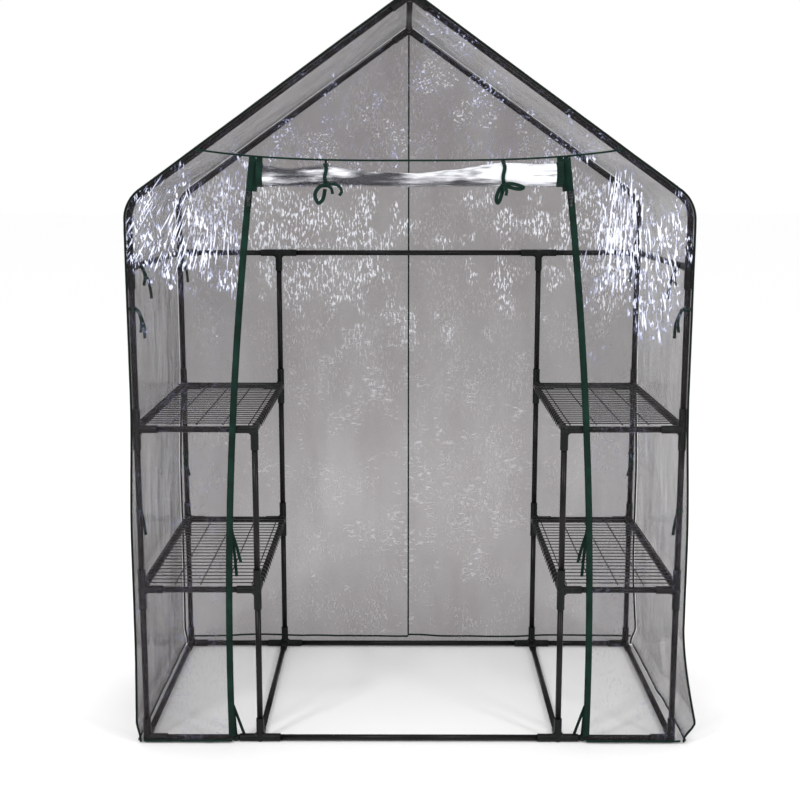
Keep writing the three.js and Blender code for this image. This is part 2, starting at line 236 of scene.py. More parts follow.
def maths(operation, *values):
    """A field worked out from one to three fields or plain numbers."""
    tree = next(value.tree for value in values if isinstance(value, Field))
    node = add_node(tree, "ShaderNodeMath", operation=operation)
    for socket, value in zip(node.inputs, values):
        if isinstance(value, Field):
            tree.links.new(value.socket, socket)
        else:
            socket.default_value = value
    return Field(tree, node.outputs[0])


class Look:
    """A material in the making."""

    def __init__(self, name):
        self.material = bpy.data.materials.new(name)
        self.material.use_nodes = True
        self.tree = self.material.node_tree
        self.shader = self.tree.nodes["Principled BSDF"]

    def set(self, name, value):
        """Sets a socket of the shader to a plain value, or joins a field to it."""
        if isinstance(value, Field):
            self.tree.links.new(value.socket, self.shader.inputs[name])
        else:
            self.shader.inputs[name].default_value = value

    def place(self):
        return add_node(self.tree, "ShaderNodeTexCoord").outputs["Object"]

    def axes(self):
        split = add_node(self.tree, "ShaderNodeSeparateXYZ")
        self.tree.links.new(self.place(), split.inputs["Vector"])
        return [Field(self.tree, split.outputs[axis]) for axis in "XYZ"]

    def noise(self, scale, detail=3.0, stretch=(1, 1, 1)):
        mapping = add_node(self.tree, "ShaderNodeMapping")
        mapping.inputs["Scale"].default_value = stretch
        self.tree.links.new(self.place(), mapping.inputs["Vector"])
        return self.noise_at(mapping.outputs["Vector"], scale, detail)

    def noise_at(self, vector, scale, detail):
        noise = add_node(self.tree, "ShaderNodeTexNoise", Scale=scale, Detail=detail)
        self.tree.links.new(vector, noise.inputs["Vector"])
        return Field(self.tree, noise.outputs["Fac"])

    def bump(self, height, strength, distance):
        """Roughens the surface by a height field, on top of any earlier bump."""
        node = add_node(self.tree, "ShaderNodeBump", Strength=strength, Distance=distance)
        self.tree.links.new(height.socket, node.inputs["Height"])
        normal = self.shader.inputs["Normal"]
        for link in list(normal.links):
            self.tree.links.new(link.from_socket, node.inputs["Normal"])
        self.tree.links.new(node.outputs["Normal"], normal)


# ---------------- materials: frame and fittings

def powder_coat():
    """Black powder coat on steel tube: faint orange peel and slightly paler rubbed patches."""
    look = Look("powder_coat")
    patches = look.noise(14.0, 4.0)
    look.set("Base Color", patches.ramp(0.42, (0.004, 0.0035, 0.004), 0.72, (0.010, 0.009, 0.010)))
    look.set("Roughness", patches.mapped(0.3, 0.7, 0.28, 0.40))
    look.set("Specular IOR Level", 0.2)
    look.bump(look.noise(900.0, 2.0), 0.25, 0.0004)
    return look.material


def moulded_black():
    """Injection-moulded black plastic sleeves: finer, softer sheen, with scuffs."""
    look = Look("moulded_black")
    scuffs = look.noise(45.0, 6.0)
    look.set("Base Color", scuffs.ramp(0.5, (0.003, 0.004, 0.004), 0.75, (0.009, 0.011, 0.010)))
    look.set("Roughness", scuffs.mapped(0.35, 0.7, 0.28, 0.42))
    look.set("Specular IOR Level", 0.2)
    look.bump(look.noise(1600.0, 2.0), 0.2, 0.0003)
    return look.material


def coated_wire():
    """Thin dark coating on shelf wire, thicker and glossier in places."""
    look = Look("coated_wire")
    patches = look.noise(60.0, 3.0)
    look.set("Base Color", patches.ramp(0.4, (0.010, 0.010, 0.011), 0.7, (0.030, 0.030, 0.033)))
    look.set("Roughness", patches.mapped(0.3, 0.7, 0.3, 0.5))
    look.bump(look.noise(700.0, 2.0), 0.2, 0.0004)
    return look.material


def plated_metal():
    """Dark plated zinc die casting of the zip sliders and pulls."""
    look = Look("plated_metal")
    wear = look.noise(220.0, 5.0)
    look.set("Base Color", wear.ramp(0.4, (0.020, 0.024, 0.023), 0.7, (0.09, 0.10, 0.10)))
    look.set("Metallic", 0.9)
    look.set("Roughness", wear.mapped(0.3, 0.7, 0.25, 0.45))
    look.bump(wear, 0.2, 0.0003)
    return look.material


def woven_green(name, depth):
    """Woven green polyester: a fine rib with slightly uneven dye. depth is how strongly it is dyed."""
    look = Look(name)
    rib = add_node(look.tree, "ShaderNodeTexWave", Scale=260.0, Distortion=1.5)
    rib.bands_direction = "Z"
    look.tree.links.new(look.place(), rib.inputs["Vector"])
    dark = (0.001, 0.012 * depth, 0.008 * depth)
    light = (0.003, 0.026 * depth, 0.017 * depth)
    look.set("Base Color", look.noise(30.0, 4.0).ramp(0.35, dark, 0.7, light))
    look.set("Roughness", 0.72)
    look.set("Sheen Weight", 0.04)
    look.set("Specular IOR Level", 0.15)
    look.bump(Field(look.tree, rib.outputs["Fac"]), 0.5, 0.0006)
    return look.material


# ---------------- materials: film

# Where the cover is most creased, and where the painted highlights on the film are densest: middle x and z,
# half width, half height, strength.
CREASES_AND_GLINTS = (
    (-0.86 * POST_X, EAVE_Z + 0.10, 0.19, 0.19, 0.74),
    (-0.82 * POST_X, EAVE_Z + 0.04, 0.19, 0.07, 0.98),
    (-0.60 * POST_X, EAVE_Z + 0.08, 0.15, 0.25, 0.64),
    (0.75 * POST_X, EAVE_Z + 0.09, 0.08, 0.20, 1.15),
    (0.87 * POST_X, EAVE_Z - 0.02, 0.09, 0.26, 0.85),
    (0.97 * POST_X, EAVE_Z + 0.08, 0.05, 0.16, 0.5),
    (-0.36 * POST_X, SEAM_Z - 0.26, 0.30, 0.28, 0.76),
    (0.50 * POST_X, SEAM_Z - 0.24, 0.18, 0.24, 0.55),
    (0.0, SEAM_Z + 0.16, 0.46, 0.26, 0.20),
    (0.13 * POST_X, RIDGE_Z - 0.10, 0.09, 0.09, 0.85),
    (0.28 * POST_X, RIDGE_Z - 0.24, 0.09, 0.07, 0.90),
    (0.58 * POST_X, SEAM_Z + 0.055, 0.12, 0.08, 0.70),
    (-0.42 * POST_X, SEAM_Z + 0.045, 0.13, 0.07, 0.60),
    (0.0, SHELF_Z["upper"] - 0.10, 0.62, 0.80, 0.36),
    (0.22 * POST_X, SHELF_Z["lower"] + 0.14, 0.36, 0.36, 0.44),
)

# The two points that the painted highlights on long folds fan out from, and how closely they lie.
FAN_X = {"left": -0.42, "right": 0.54}
FAN_Z = RIDGE_Z - 0.16
FAN_GLINT_LINES = 84.0
FAN_BREAKS = 15.0

SEAM_RISE = 30 * MM
# The colour at the middle of a painted highlight, and the film's opacity there.
PAINTED_HIGHLIGHT_WHITE = (0.88, 0.90, 0.98)
DENSEST = 0.95


def zone_weight(x, z, zone):
    """A zone's strength around its middle, falling to nothing at its edge, through the whole depth."""
    middle_x, middle_z, half_x, half_z, strength = zone
    across = (x - middle_x) * (1 / half_x)
    up = (z - middle_z) * (1 / half_z)
    return (across * across + up * up).mapped(0.2, 1, strength, 0)


def fan_streaks(look, x, z, density):
    """Painted highlights on long folds fanning below the front seam's ends, closer where the film is creased.
    """
    across = x - x.mapped(-0.01, 0.01, FAN_X["left"], FAN_X["right"])
    down = FAN_Z - z
    reach = maths("SQRT", across * across + down * down)
    polar = add_node(look.tree, "ShaderNodeCombineXYZ")
    look.tree.links.new((maths("ARCTAN2", across, down) * FAN_GLINT_LINES).socket, polar.inputs["X"])
    look.tree.links.new((reach * FAN_BREAKS).socket, polar.inputs["Y"])
    noise = look.noise_at(polar.outputs["Vector"], 1.0, 4.0)
    return (density * 0.15 + (noise - 0.66)).mapped(0.0, 0.09, 0, 1)


def thin_crease_glints(look):
    """Painted highlights along thin wandering lines, broken into short lengths."""
    off_line = maths("ABSOLUTE", look.noise(24.0, 2.0, (0.6, 1.0, 1.2)) - 0.5)
    lengths = look.noise(60.0, 2.0).mapped(0.47, 0.58, 0, 1)
    return off_line.mapped(0.0, 0.05, 1, 0) * lengths


def glint_mask(look, x, z, fanned):
    """Painted highlights on the film's creases, with a painted sparkle: 0 for plain film, 1 at a glint's
    middle.
    """
    density = 0.0
    for zone in CREASES_AND_GLINTS:
        density = maths("MAXIMUM", density, zone_weight(x, z, zone))
    clusters = (density * 0.30 + look.noise(17.0, 3.0, (1.0, 1.0, 0.7))).mapped(0.60, 0.72, 0, 1)
    upright = look.noise(200.0, 2.0, (1.0, 1.0, 0.28)).mapped(0.52, 0.63, 0, 1)
    level = look.noise(120.0, 2.0, (0.34, 1.0, 0.9)).mapped(0.54, 0.68, 0, 1)
    level = maths("MAXIMUM", level, thin_crease_glints(look)) * 0.38
    fine = look.noise(210.0, 2.0, (0.7, 1.0, 0.7)).mapped(0.52, 0.68, 0, 0.62)
    low_down = z.mapped(SHELF_Z["upper"], EAVE_Z, 1, 0)
    in_roof = z.mapped(SEAM_Z, SEAM_Z + SEAM_RISE, 0, 1)
    between = 1.0 - low_down - in_roof
    # Painted highlights that follow the creases: upright ones up to the roof, level ones low down, fine ones
    # in the roof.
    wrinkle_glints = upright * between + level * low_down + fine * in_roof
    glints = wrinkle_glints * clusters
    if fanned:
        inside = density.mapped(0.25, 0.70, 0, 1) * (1.0 - in_roof)
        glints = maths("MAXIMUM", glints, fan_streaks(look, x, z, density) * inside)
    # A fine painted sparkle over all the film, in patches.
    painted_sparkle = look.noise(170.0, 3.0, (1.0, 1.0, 0.45)).mapped(0.50, 0.74, 0, 0.30)
    patches = look.noise(7.0, 3.0).mapped(0.42, 0.62, 0.15, 1)
    return maths("MAXIMUM", glints, painted_sparkle * patches)


def clear_film(name, face_on, edge_on, tint, glint_edge, gloss, low_down=0.0, left_shade=0.0, fanned=False):
    """Clear film, glossy and softly crinkled, with painted highlights on its creases, in its colour and
    opacity.

    face_on is its opacity looked at squarely, and edge_on at a grazing angle. low_down is added near the
    floor. leftwards is added at the left side and taken off at the right: painted shade that makes the
    left of the cover darker than its right.
    """
    look = Look(name)
    x, _, z = look.axes()
    haze = look.noise(9.0, 4.0, (1.0, 1.0, 0.35))
    glint = glint_mask(look, x, z, fanned)
    # The colour runs from the film's tint into painted highlights, tinted at their edges and white in the
    # middle.
    mix = add_node(look.tree, "ShaderNodeMix", data_type="RGBA")
    plain_colour, glint_colour = [socket for socket in mix.inputs if socket.type == "RGBA"]
    joins = (
        (glint.mapped(0, 0.6, 0, 1), mix.inputs["Factor"]),
        (haze.ramp(0.35, tint, 0.7, tuple(c * 1.4 for c in tint)), plain_colour),
        (glint.ramp(0.3, glint_edge, 0.9, PAINTED_HIGHLIGHT_WHITE), glint_colour),
    )
    for field, socket in joins:
        look.tree.links.new(field.socket, socket)
    mixed = next(socket for socket in mix.outputs if socket.type == "RGBA")
    look.set("Base Color", Field(look.tree, mixed))
    look.set("Roughness", haze.mapped(0.3, 0.7, 0.10, 0.20))
    look.set("Specular IOR Level", gloss)
    look.bump(look.noise(38.0, 5.0, (1.0, 1.0, 0.45)), 0.5, 0.004)
    look.bump(look.noise(150.0, 3.0, (1.0, 1.0, 0.5)), 0.35, 0.0012)
    slant = Field(look.tree, add_node(look.tree, "ShaderNodeLayerWeight", Blend=0.5).outputs["Facing"])
    smoke = slant.mapped(0.3, 0.9, face_on, edge_on) + haze.mapped(0.3, 0.7, -0.035, 0.035)
    # Painted shade: the film is more opaque, and so darker, towards the left.
    smoke = smoke + z.mapped(FLOOR_Z, EAVE_Z, low_down, 0) + x.mapped(-POST_X, POST_X, left_shade, -left_shade)
    # Painted highlights also make the film more opaque, up to DENSEST at their middle.
    look.set("Alpha", smoke + glint * (DENSEST - smoke))
    return look.material


def rolled_film():
    """The film in many loose turns: grey and see-through at the left, with painted highlights towards the
    right and along its top, and painted shade along its underside.
    """
    look = Look("rolled_film")
    x, _, z = look.axes()
    # Streaks along the roll: they roughen its surface, and in its colour they are painted highlights too.
    streaks = look.noise(95.0, 4.0, (0.16, 1.0, 1.0))
    broad = look.noise(16.0, 3.0, (0.35, 1.0, 1.0))
    mottle = (broad - 0.5) * 1.3 + streaks
    # Painted light: a highlight that grows towards the right, and a lit top with its underside in painted
    # shade.
    painted_right_highlight = x.mapped(TIES["left"] + 0.08, TIES["right"], 0.0, 0.42)
    painted_top_light = z.mapped(ROLL_LOW.z + 0.010, ROLL_LOW.z + 0.024, -0.05, 0.06)
    light = mottle + painted_right_highlight * (painted_top_light + 0.5) + painted_top_light
    painted_shine = light.mapped(0.46, 0.78, 0, 1)
    # The colour runs from painted shade to painted highlight, and the film is more opaque where brighter.
    look.set("Base Color", painted_shine.ramp(0.0, (0.14, 0.14, 0.16), 1.0, (0.92, 0.93, 0.97)))
    look.set("Roughness", broad.mapped(0.3, 0.7, 0.10, 0.22))
    look.set("Alpha", painted_shine.mapped(0, 1, 0.14, 0.85))
    look.bump(streaks, 0.6, 0.003)
    return look.material


# ---------------- mesh helpers

def mesh_object(name, vertices, faces, material):
    mesh = bpy.data.meshes.new(name)
    mesh.from_pydata([tuple(v) for v in vertices], [], faces)
    mesh.materials.append(material)
    mesh.polygons.foreach_set("use_smooth", [True] * len(mesh.polygons))
    mesh.update()
    return show(bpy.data.objects.new(name, mesh))


def place_piece(piece, body, nodes):
    """Says which body a piece moves with, which CAD meshes it stands for."""
    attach(piece, body)
    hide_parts(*nodes)
    return piece


def ring_faces(rings, sides, first):
    """Faces around a row of rings of points, with both ends closed. first is the index of the first point."""
    faces = []
    for i in range(rings - 1):
        for k in range(sides):
            a = first + i * sides + k
            b = first + i * sides + (k + 1) % sides
            faces.append((a, b, b + sides, a + sides))
    last = first + (rings - 1) * sides
    faces.append(tuple(first + k for k in reversed(range(sides))))
    faces.append(tuple(last + k for k in range(sides)))
    return faces


def directions(path):
    """The direction of a path at each of its points."""
    ahead = [*path[1:], path[-1]]
    behind = [path[0], *path[:-1]]
    return [(b - a).normalized() for a, b in zip(behind, ahead)]


def arc_points(middle, radius, start, end, steps, plane):
    """Points on an arc from start to end, angles in radians, in the plane of two unit vectors."""
    first, second = plane
    points = []
    for i in range(steps + 1):
        angle = start + (end - start) * i / steps
        points.append(middle + (first * math.cos(angle) + second * math.sin(angle)) * radius)
    return points


def curve_through(points, steps=6):
    """A smooth path through a few points."""
    points = [Vector(p) for p in points]
    ends = [points[0] * 2 - points[1], *points, points[-1] * 2 - points[-2]]
    path = []
    for a, b, c, d in zip(ends, ends[1:], ends[2:], ends[3:]):
        for i in range(steps):
            t = i / steps
            path.append(0.5 * ((2 * b) + (c - a) * t + (2 * a - 5 * b + 4 * c - d) * t * t
                               + (3 * b - a - 3 * c + d) * t ** 3))
    path.append(points[-1])
    return path


STRAP_SIDES = 12
BOX_FACES = ((0, 1, 3, 2), (4, 6, 7, 5), (0, 4, 5, 1), (2, 3, 7, 6), (0, 2, 6, 4), (1, 5, 7, 3))
WEDGE_FACES = ((0, 1, 2), (5, 4, 3), (0, 3, 4, 1), (1, 4, 5, 2), (2, 5, 3, 0))


class Parts:
    """Gathers several bars, straps and small blocks into one mesh."""

    def __init__(self):
        self.vertices = []
        self.faces = []

    def bar(self, path, radius, sides=10):
        """A closed round bar along a path, kept from twisting."""
        path = [Vector(p) for p in path]
        self.faces += ring_faces(len(path), sides, len(self.vertices))
        tangents = directions(path)
        across = tangents[0].orthogonal().normalized()
        for point, tangent in zip(path, tangents):
            across = (across - tangent * across.dot(tangent)).normalized()
            up = tangent.cross(across)
            for k in range(sides):
                angle = 2 * math.pi * k / sides
                self.vertices.append(point + (across * math.cos(angle) + up * math.sin(angle)) * radius)

    def strap(self, path, facing, widths, thickness):
        """A flat woven strip with rounded edges. facing and widths are for all points, or one for each."""
        path = [Vector(p) for p in path]
        facing = [facing] * len(path) if isinstance(facing, Vector) else facing
        widths = [widths] * len(path) if isinstance(widths, float) else widths
        self.faces += ring_faces(len(path), STRAP_SIDES, len(self.vertices))
        for point, along, face, width in zip(path, directions(path), facing, widths):
            across = along.cross(face).normalized()
            out = across.cross(along)
            for k in range(STRAP_SIDES):
                angle = 2 * math.pi * (k + 0.5) / STRAP_SIDES
                c, s = math.cos(angle), math.sin(angle)
                wide = math.copysign(abs(c) ** 0.4, c) * width / 2
                deep = math.copysign(abs(s) ** 0.6, s) * thickness / 2
                self.vertices.append(point + across * wide + out * deep)

    def solid(self, corners, faces):
        first = len(self.vertices)
        self.vertices += corners
        self.faces += [tuple(first + k for k in face) for face in faces]

    def block(self, middle, half, turn=0.0):
        """A small box turned in the plane of the door."""
        spin = Matrix.Rotation(turn, 3, "Y")
        signs = [(sx, sy, sz) for sx in (-1, 1) for sy in (-1, 1) for sz in (-1, 1)]
        corners = [middle + spin @ Vector((sx * half.x, sy * half.y, sz * half.z)) for sx, sy, sz in signs]
        self.solid(corners, BOX_FACES)

    def piece(self, name, material, nodes, slot="green_tape", body=ROOT):
        made = mesh_object(name, self.vertices, self.faces, material)
        return place_piece(made, body, nodes)


# ---------------- frame tubes

TUBE_SIDES = 24


def make_tube(name, path, node, material):
    tube = Parts()
    tube.bar(path, TUBE_R, TUBE_SIDES)
    tube.piece(name, material, [node], "frame_steel")


def straight_tube(name, joint_a, joint_b, node, material):
    """One tube between two sleeve joints, pushed a little way into each."""
    a, b = Vector(joint_a), Vector(joint_b)
    along = (b - a).normalized()
    make_tube(name, [a + along * TUBE_INSET, b - along * TUBE_INSET], node, material)


def make_post_tubes(material):
    """Post tubes from level to level. The front inner posts end at the upper shelf."""
    levels = list(LEVEL_Z)
    for side, sign in SIDES.items():
        for end, (y, _) in ENDS.items():
            for place, x, used in (("post", POST_X, levels),
                                   ("inner_post", INNER_X, levels[:3] if end == "front" else levels)):
                for low, high in zip(used, used[1:]):
                    node = f"{place}_{end}_{side}"
                    foot, head = [(sign * x, y, LEVEL_Z[level]) for level in (low, high)]
                    straight_tube(f"tube_{node}_{low}_to_{high}", foot, head, node, material)


def make_rail_tubes(material):
    stops = [-POST_X, -INNER_X, INNER_X, POST_X]
    for node, y, z in (("floor_rail_front", FRONT_Y, FLOOR_Z), ("floor_rail_back", BACK_Y, FLOOR_Z),
                       ("eave_rail_back", BACK_Y, EAVE_Z)):
        for part, a, b in zip(("left", "middle", "right"), stops, stops[1:]):
            straight_tube(f"tube_{node}_{part}", (a, y, z), (b, y, z), node, material)
    for side, sign in SIDES.items():
        deep = [(f"eave_rail_{side}", POST_X, EAVE_Z)]
        for level in ("floor", "lower", "upper"):
            deep.append((f"{level}_bearer_outer_{side}", POST_X, LEVEL_Z[level]))
            deep.append((f"{level}_bearer_inner_{side}", INNER_X, LEVEL_Z[level]))
        for node, x, z in deep:
            straight_tube(f"tube_{node}", (sign * x, FRONT_Y, z), (sign * x, BACK_Y, z), node, material)
        for level, z in SHELF_Z.items():
            for end, (y, _) in ENDS.items():
                node = f"{level}_rail_{end}_{side}"
                straight_tube(f"tube_{node}", (sign * INNER_X, y, z), (sign * POST_X, y, z), node, material)


def make_roof_tubes(material):
    for side, sign in SIDES.items():
        outward = X * sign
        up_slope = Z * math.sin(PITCH) - outward * math.cos(PITCH)
        for end, (y, _) in ENDS.items():
            middle = Vector((sign * POST_X, y, BEND_Z)) - Z * BEND_TANGENT - outward * BEND_R
            bend = arc_points(middle, BEND_R, 0, math.pi / 2 - PITCH, 10, (outward, Z))
            foot = Vector((sign * POST_X, y, EAVE_Z + TUBE_INSET))
            apex = Vector((0, y, RIDGE_Z)) - up_slope * TUBE_INSET
            make_tube(f"tube_rafter_{end}_{side}", [foot, *bend, apex], f"rafter_{end}_{side}", material)
    straight_tube("tube_ridge", (0, FRONT_Y, RIDGE_Z), (0, BACK_Y, RIDGE_Z), "ridge_bar", material)


# ---------------- sleeves

SLEEVE_VOXEL = 1.3 * MM
SLEEVE_SIDES = 28
SLEEVE_HUB = SLEEVE_R * 0.75
SLEEVE_LIP = 1.5 * MM
GUSSET_REACH = 25 * MM
GUSSET_HALF = 4.5 * MM
sleeve_meshes = {}


def gusset_corners(a, b):
    """A thin wedge in the corner between two arms, which smoothing turns into a fillet."""
    side = a.cross(b).normalized() * GUSSET_HALF
    corners = [Vector(), a * GUSSET_REACH, b * GUSSET_REACH]
    return [c + side for c in corners] + [c - side for c in corners]


def sleeve_mesh(arms, material):
    """One moulded joint with an arm in each direction, cast as one body with rounded inner corners."""
    key = tuple(sorted(tuple(round(c, 3) for c in arm) for arm in arms))
    if key in sleeve_meshes:
        return sleeve_meshes[key]
    joint = Parts()
    for arm in arms:
        joint.bar([-arm * SLEEVE_HUB, arm * (ARM - SLEEVE_LIP), arm * ARM], SLEEVE_R, SLEEVE_SIDES)
    for i, a in enumerate(arms):
        for b in arms[i + 1:]:
            in_line = abs(a.dot(b)) > 0.9
            if not in_line:
                joint.solid(gusset_corners(a, b), WEDGE_FACES)
    rough = mesh_object("sleeve_rough", joint.vertices, joint.faces, material)
    remesh = rough.modifiers.new("remesh", "REMESH")
    remesh.mode = "VOXEL"
    remesh.voxel_size = SLEEVE_VOXEL
    remesh.use_smooth_shade = True
    smooth = rough.modifiers.new("smooth", "SMOOTH")
    smooth.factor = 0.5
    smooth.iterations = 7
    depsgraph = bpy.context.evaluated_depsgraph_get()
    mesh = bpy.data.meshes.new_from_object(rough.evaluated_get(depsgraph))
    mesh.name = "sleeve_mesh"
    mesh.polygons.foreach_set("use_smooth", [True] * len(mesh.polygons))
    bpy.data.objects.remove(rough)
    sleeve_meshes[key] = mesh
    return mesh


def make_sleeve(name, place, arms, node, material):
    piece = show(bpy.data.objects.new(name, sleeve_mesh(arms, material)))
    piece.location = place
    place_piece(piece, ROOT, [node])


def post_sleeve_arms(end, inward, into):
    """The directions in which each sleeve's arms point, for a corner post and for an inner post."""
    back = end == "back"
    cross = [inward, into, Z, -Z]
    eave = cross if back else [into, Z, -Z]
    corner = {"floor": [inward, into, Z], "lower": cross, "upper": cross, "eave": eave}
    inner = {
        "floor": [inward, -inward, into, Z],
        "lower": [-inward, into, Z, -Z],
        "upper": [-inward, into, Z, -Z] if back else [-inward, into, -Z],
    }
    if back:
        inner["eave"] = [inward, -inward, -Z]
    return corner, inner


def make_sleeves(material):
    for side, sign in SIDES.items():
        for end, (y, step) in ENDS.items():
            corner, inner = post_sleeve_arms(end, -X * sign, Y * step)
            for place, x, arms in (("post", POST_X, corner), ("inner_post", INNER_X, inner)):
                node = f"{place}_{end}_{side}"
                for level, used in arms.items():
                    middle = Vector((sign * x, y, LEVEL_Z[level]))
                    make_sleeve(f"sleeve_{node}_{level}", middle, used, node, material)
    slopes = [X * sign * math.cos(PITCH) - Z * math.sin(PITCH) for sign in SIDES.values()]
    for end, (y, step) in ENDS.items():
        make_sleeve(f"sleeve_apex_{end}", Vector((0, y, RIDGE_Z)), [*slopes, Y * step], "ridge_bar", material)


# ---------------- wire shelves

WIRE_R = 1.6 * MM
WIRE_SIDES = 8
CLEARANCE = 0.4 * MM
HOOK_DROP = 6 * MM
HOOK_STEPS = 6
CROSS_WIRES = 23
LONG_WIRES = 5

# How far inside the shelf's ends the outermost cross wires and the tips of the long wires lie.
CROSS_INSET = 8 * MM
LONG_INSET = 2 * MM


def cross_wire(middle_x, y, z):
    """The path of one cross wire. It hooks over both bearers, but lies straight over their sleeves."""
    half = (POST_X - INNER_X) / 2
    rise = SLEEVE_R + WIRE_R + CLEARANCE
    reach = TUBE_R + WIRE_R + CLEARANCE
    over_sleeves = min(y - FRONT_Y, BACK_Y - y) < ARM + WIRE_R
    if over_sleeves:
        return [Vector((middle_x + s * (half + TUBE_R), y, z + rise)) for s in (-1, 1)]
    tips = [Vector((middle_x + s * (half + reach), y, z - HOOK_DROP)) for s in (-1, 1)]
    path = [tips[0]]
    for bearer_x, start in ((middle_x - half, math.pi), (middle_x + half, math.pi / 2)):
        for i in range(HOOK_STEPS + 1):
            angle = start - math.pi / 2 * i / HOOK_STEPS
            path.append(Vector((bearer_x + reach * math.cos(angle), y, z + rise * math.sin(angle))))
    return [*path, tips[1]]


def make_shelf(level, side, material):
    """Cross wires that hook over both bearers, welded on top of a few long wires."""
    node = f"{level}_shelf_{side}"
    low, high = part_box(node)
    middle_x = (low.x + high.x) / 2
    wires = Parts()
    for y in np.linspace(low.y + CROSS_INSET, high.y - CROSS_INSET, CROSS_WIRES):
        wires.bar(cross_wire(middle_x, float(y), SHELF_Z[level]), WIRE_R, WIRE_SIDES)
    under = SHELF_Z[level] + SLEEVE_R + CLEARANCE - WIRE_R
    spread = (POST_X - INNER_X) / 2 - 2 * TUBE_R
    for x in np.linspace(middle_x - spread, middle_x + spread, LONG_WIRES):
        ends = [(x, low.y + LONG_INSET, under), (x, high.y - LONG_INSET, under)]
        wires.bar(ends, WIRE_R, WIRE_SIDES)
    wires.piece(f"wire_shelf_{level}_{side}", material, [node], "shelf_wire", f"{node}_body")


# ---------------- film: creases

TABLE_SIZE = 4096
HASH_STEPS = (73856093, 19349663, 83492791)

# Folded facets: seed, size, how much taller than wide, depth. The small ones deepen most in the creased
# zones.
FACETS = ((1, 0.160, 1.9, 0.0034), (2, 0.075, 2.0, 0.0018), (3, 0.034, 2.0, 0.0010), (4, 0.017, 1.8, 0.0005))
SMALL_FACET = 0.05

# The hang of the sides below the upper shelf, and the flare of the skirt, which starts at FLARE_TOP. Both
# grow outwards over EDGE_ZONE, and the flare grows forwards over FORWARD_ZONE.
HANG = 11 * MM
FLARE = {"left": 5 * MM, "right": 40 * MM}
FLARE_TOP = 0.32
FLARE_FULL = 0.06
EDGE_ZONE = (0.56, 0.70)
FORWARD_ZONE = (-0.15, 0.33)

# How slack the film is over tubes and zips, and how far from a zip or a tube it hangs free.
TAUT = 0.2
FREE_OF_ZIP = 0.06
FREE_OF_TUBE = 0.11
ROOF_SAG = 18 * MM

# Tension folds at each bend: how many, how far they reach, how deep they are.
FOLDS = 9
FOLD_REACH = 0.22
FOLD_DEPTH = 6 * MM


def lattice(points, seed):
    """Smooth random values between -1 and 1 at points given in lattice steps."""
    table = np.random.default_rng(seed).uniform(-1, 1, TABLE_SIZE)
    cell = np.floor(points).astype(np.int64)
    part = points - cell
    ease = part * part * part * (part * (part * 6 - 15) + 10)
    total = np.zeros(len(points))
    for corner in np.ndindex(2, 2, 2):
        a, b, c = ((cell[:, axis] + corner[axis]) * HASH_STEPS[axis] for axis in range(3))
        weight = np.ones(len(points))
        for axis, step in enumerate(corner):
            weight *= ease[:, axis] if step else 1 - ease[:, axis]
        total += weight * table[(a ^ b ^ c) % TABLE_SIZE]
    return total


def smooth_step(value, low, high):
    t = np.clip((value - low) / (high - low), 0, 1)
    return t * t * (3 - 2 * t)


def crease_height(points):
    """How far the film stands out from its flat face: folded facets of several sizes."""
    density = np.zeros(len(points))
    for x, z, half_x, half_z, strength in CREASES_AND_GLINTS:
        square = ((points[:, 0] - x) / half_x) ** 2 + ((points[:, 2] - z) / half_z) ** 2
        density = np.maximum(density, strength * np.clip(1 - square, 0, 1))
    height = np.zeros(len(points))
    for seed, size, tall, depth in FACETS:
        steps = points / np.array([size, size, size * tall])
        warp = lattice(steps * 0.7 + 31.7, seed + 10)
        grow = 1 + density * (1.2 if size < SMALL_FACET else 0.2)
        height += depth * grow * np.abs(lattice(steps + warp[:, None] * 0.6, seed))
    return height


def fan_folds(points, corner):
    """Tension folds that spread from a corner of the cover."""
    away = points - np.array(corner)
    distance = np.linalg.norm(away, axis=1)
    angle = np.arctan2(away[:, 2], np.hypot(away[:, 0], away[:, 1]))
    wander = lattice(points / 0.21, 41)
    shape = np.abs(np.sin(angle * FOLDS + wander * 1.3))
    return FOLD_DEPTH * shape * np.exp(-distance / FOLD_REACH) * smooth_step(distance, 0.0, 0.09)


def skirt_flare(points):
    """How far the cover stands out sideways. The flare is largest at the front right corner."""
    x, y, z = points.T
    hang = HANG * smooth_step(-z, -SHELF_Z["upper"] - 0.10, -SHELF_Z["lower"] - 0.13)
    rise = np.clip((FLARE_TOP - z) / (FLARE_TOP - FLARE_FULL), 0, 1) ** 1.5
    tucks_in = 1 - 0.55 * smooth_step(FLARE_FULL - z, 0.0, 0.05)
    near_edge = smooth_step(np.abs(x), *EDGE_ZONE)
    towards_front = 0.35 + 0.65 * smooth_step(-y, *FORWARD_ZONE)
    ripple = 1 + 0.25 * lattice(np.stack([y / 0.11, z / 0.6, x], axis=1), 51) * smooth_step(y, FRONT_Y, 0)
    flare = np.where(x > 0, FLARE["right"], FLARE["left"]) * rise * towards_front * ripple
    return np.sign(x) * (hang + flare) * tucks_in * near_edge


def slackness(points):
    """1 where the film hangs free, and down to TAUT over the edge tubes and along the zips."""
    x, y, z = points.T
    from_ends = np.minimum(np.abs(y - FRONT_FILM_Y), np.abs(y - BACK_FILM_Y))
    from_outline = outer_x(z) - np.abs(x)
    from_zip = np.where((y < 0) & (z < SEAM_Z), np.abs(x) - zip_x(np.minimum(z, SEAM_Z)), 1.0)
    by_zip = TAUT + (1 - TAUT) * smooth_step(from_zip, 0.012, FREE_OF_ZIP)
    from_tubes = np.maximum(from_ends, from_outline)
    return by_zip * (TAUT + (1 - TAUT) * smooth_step(from_tubes, 0.0, FREE_OF_TUBE))


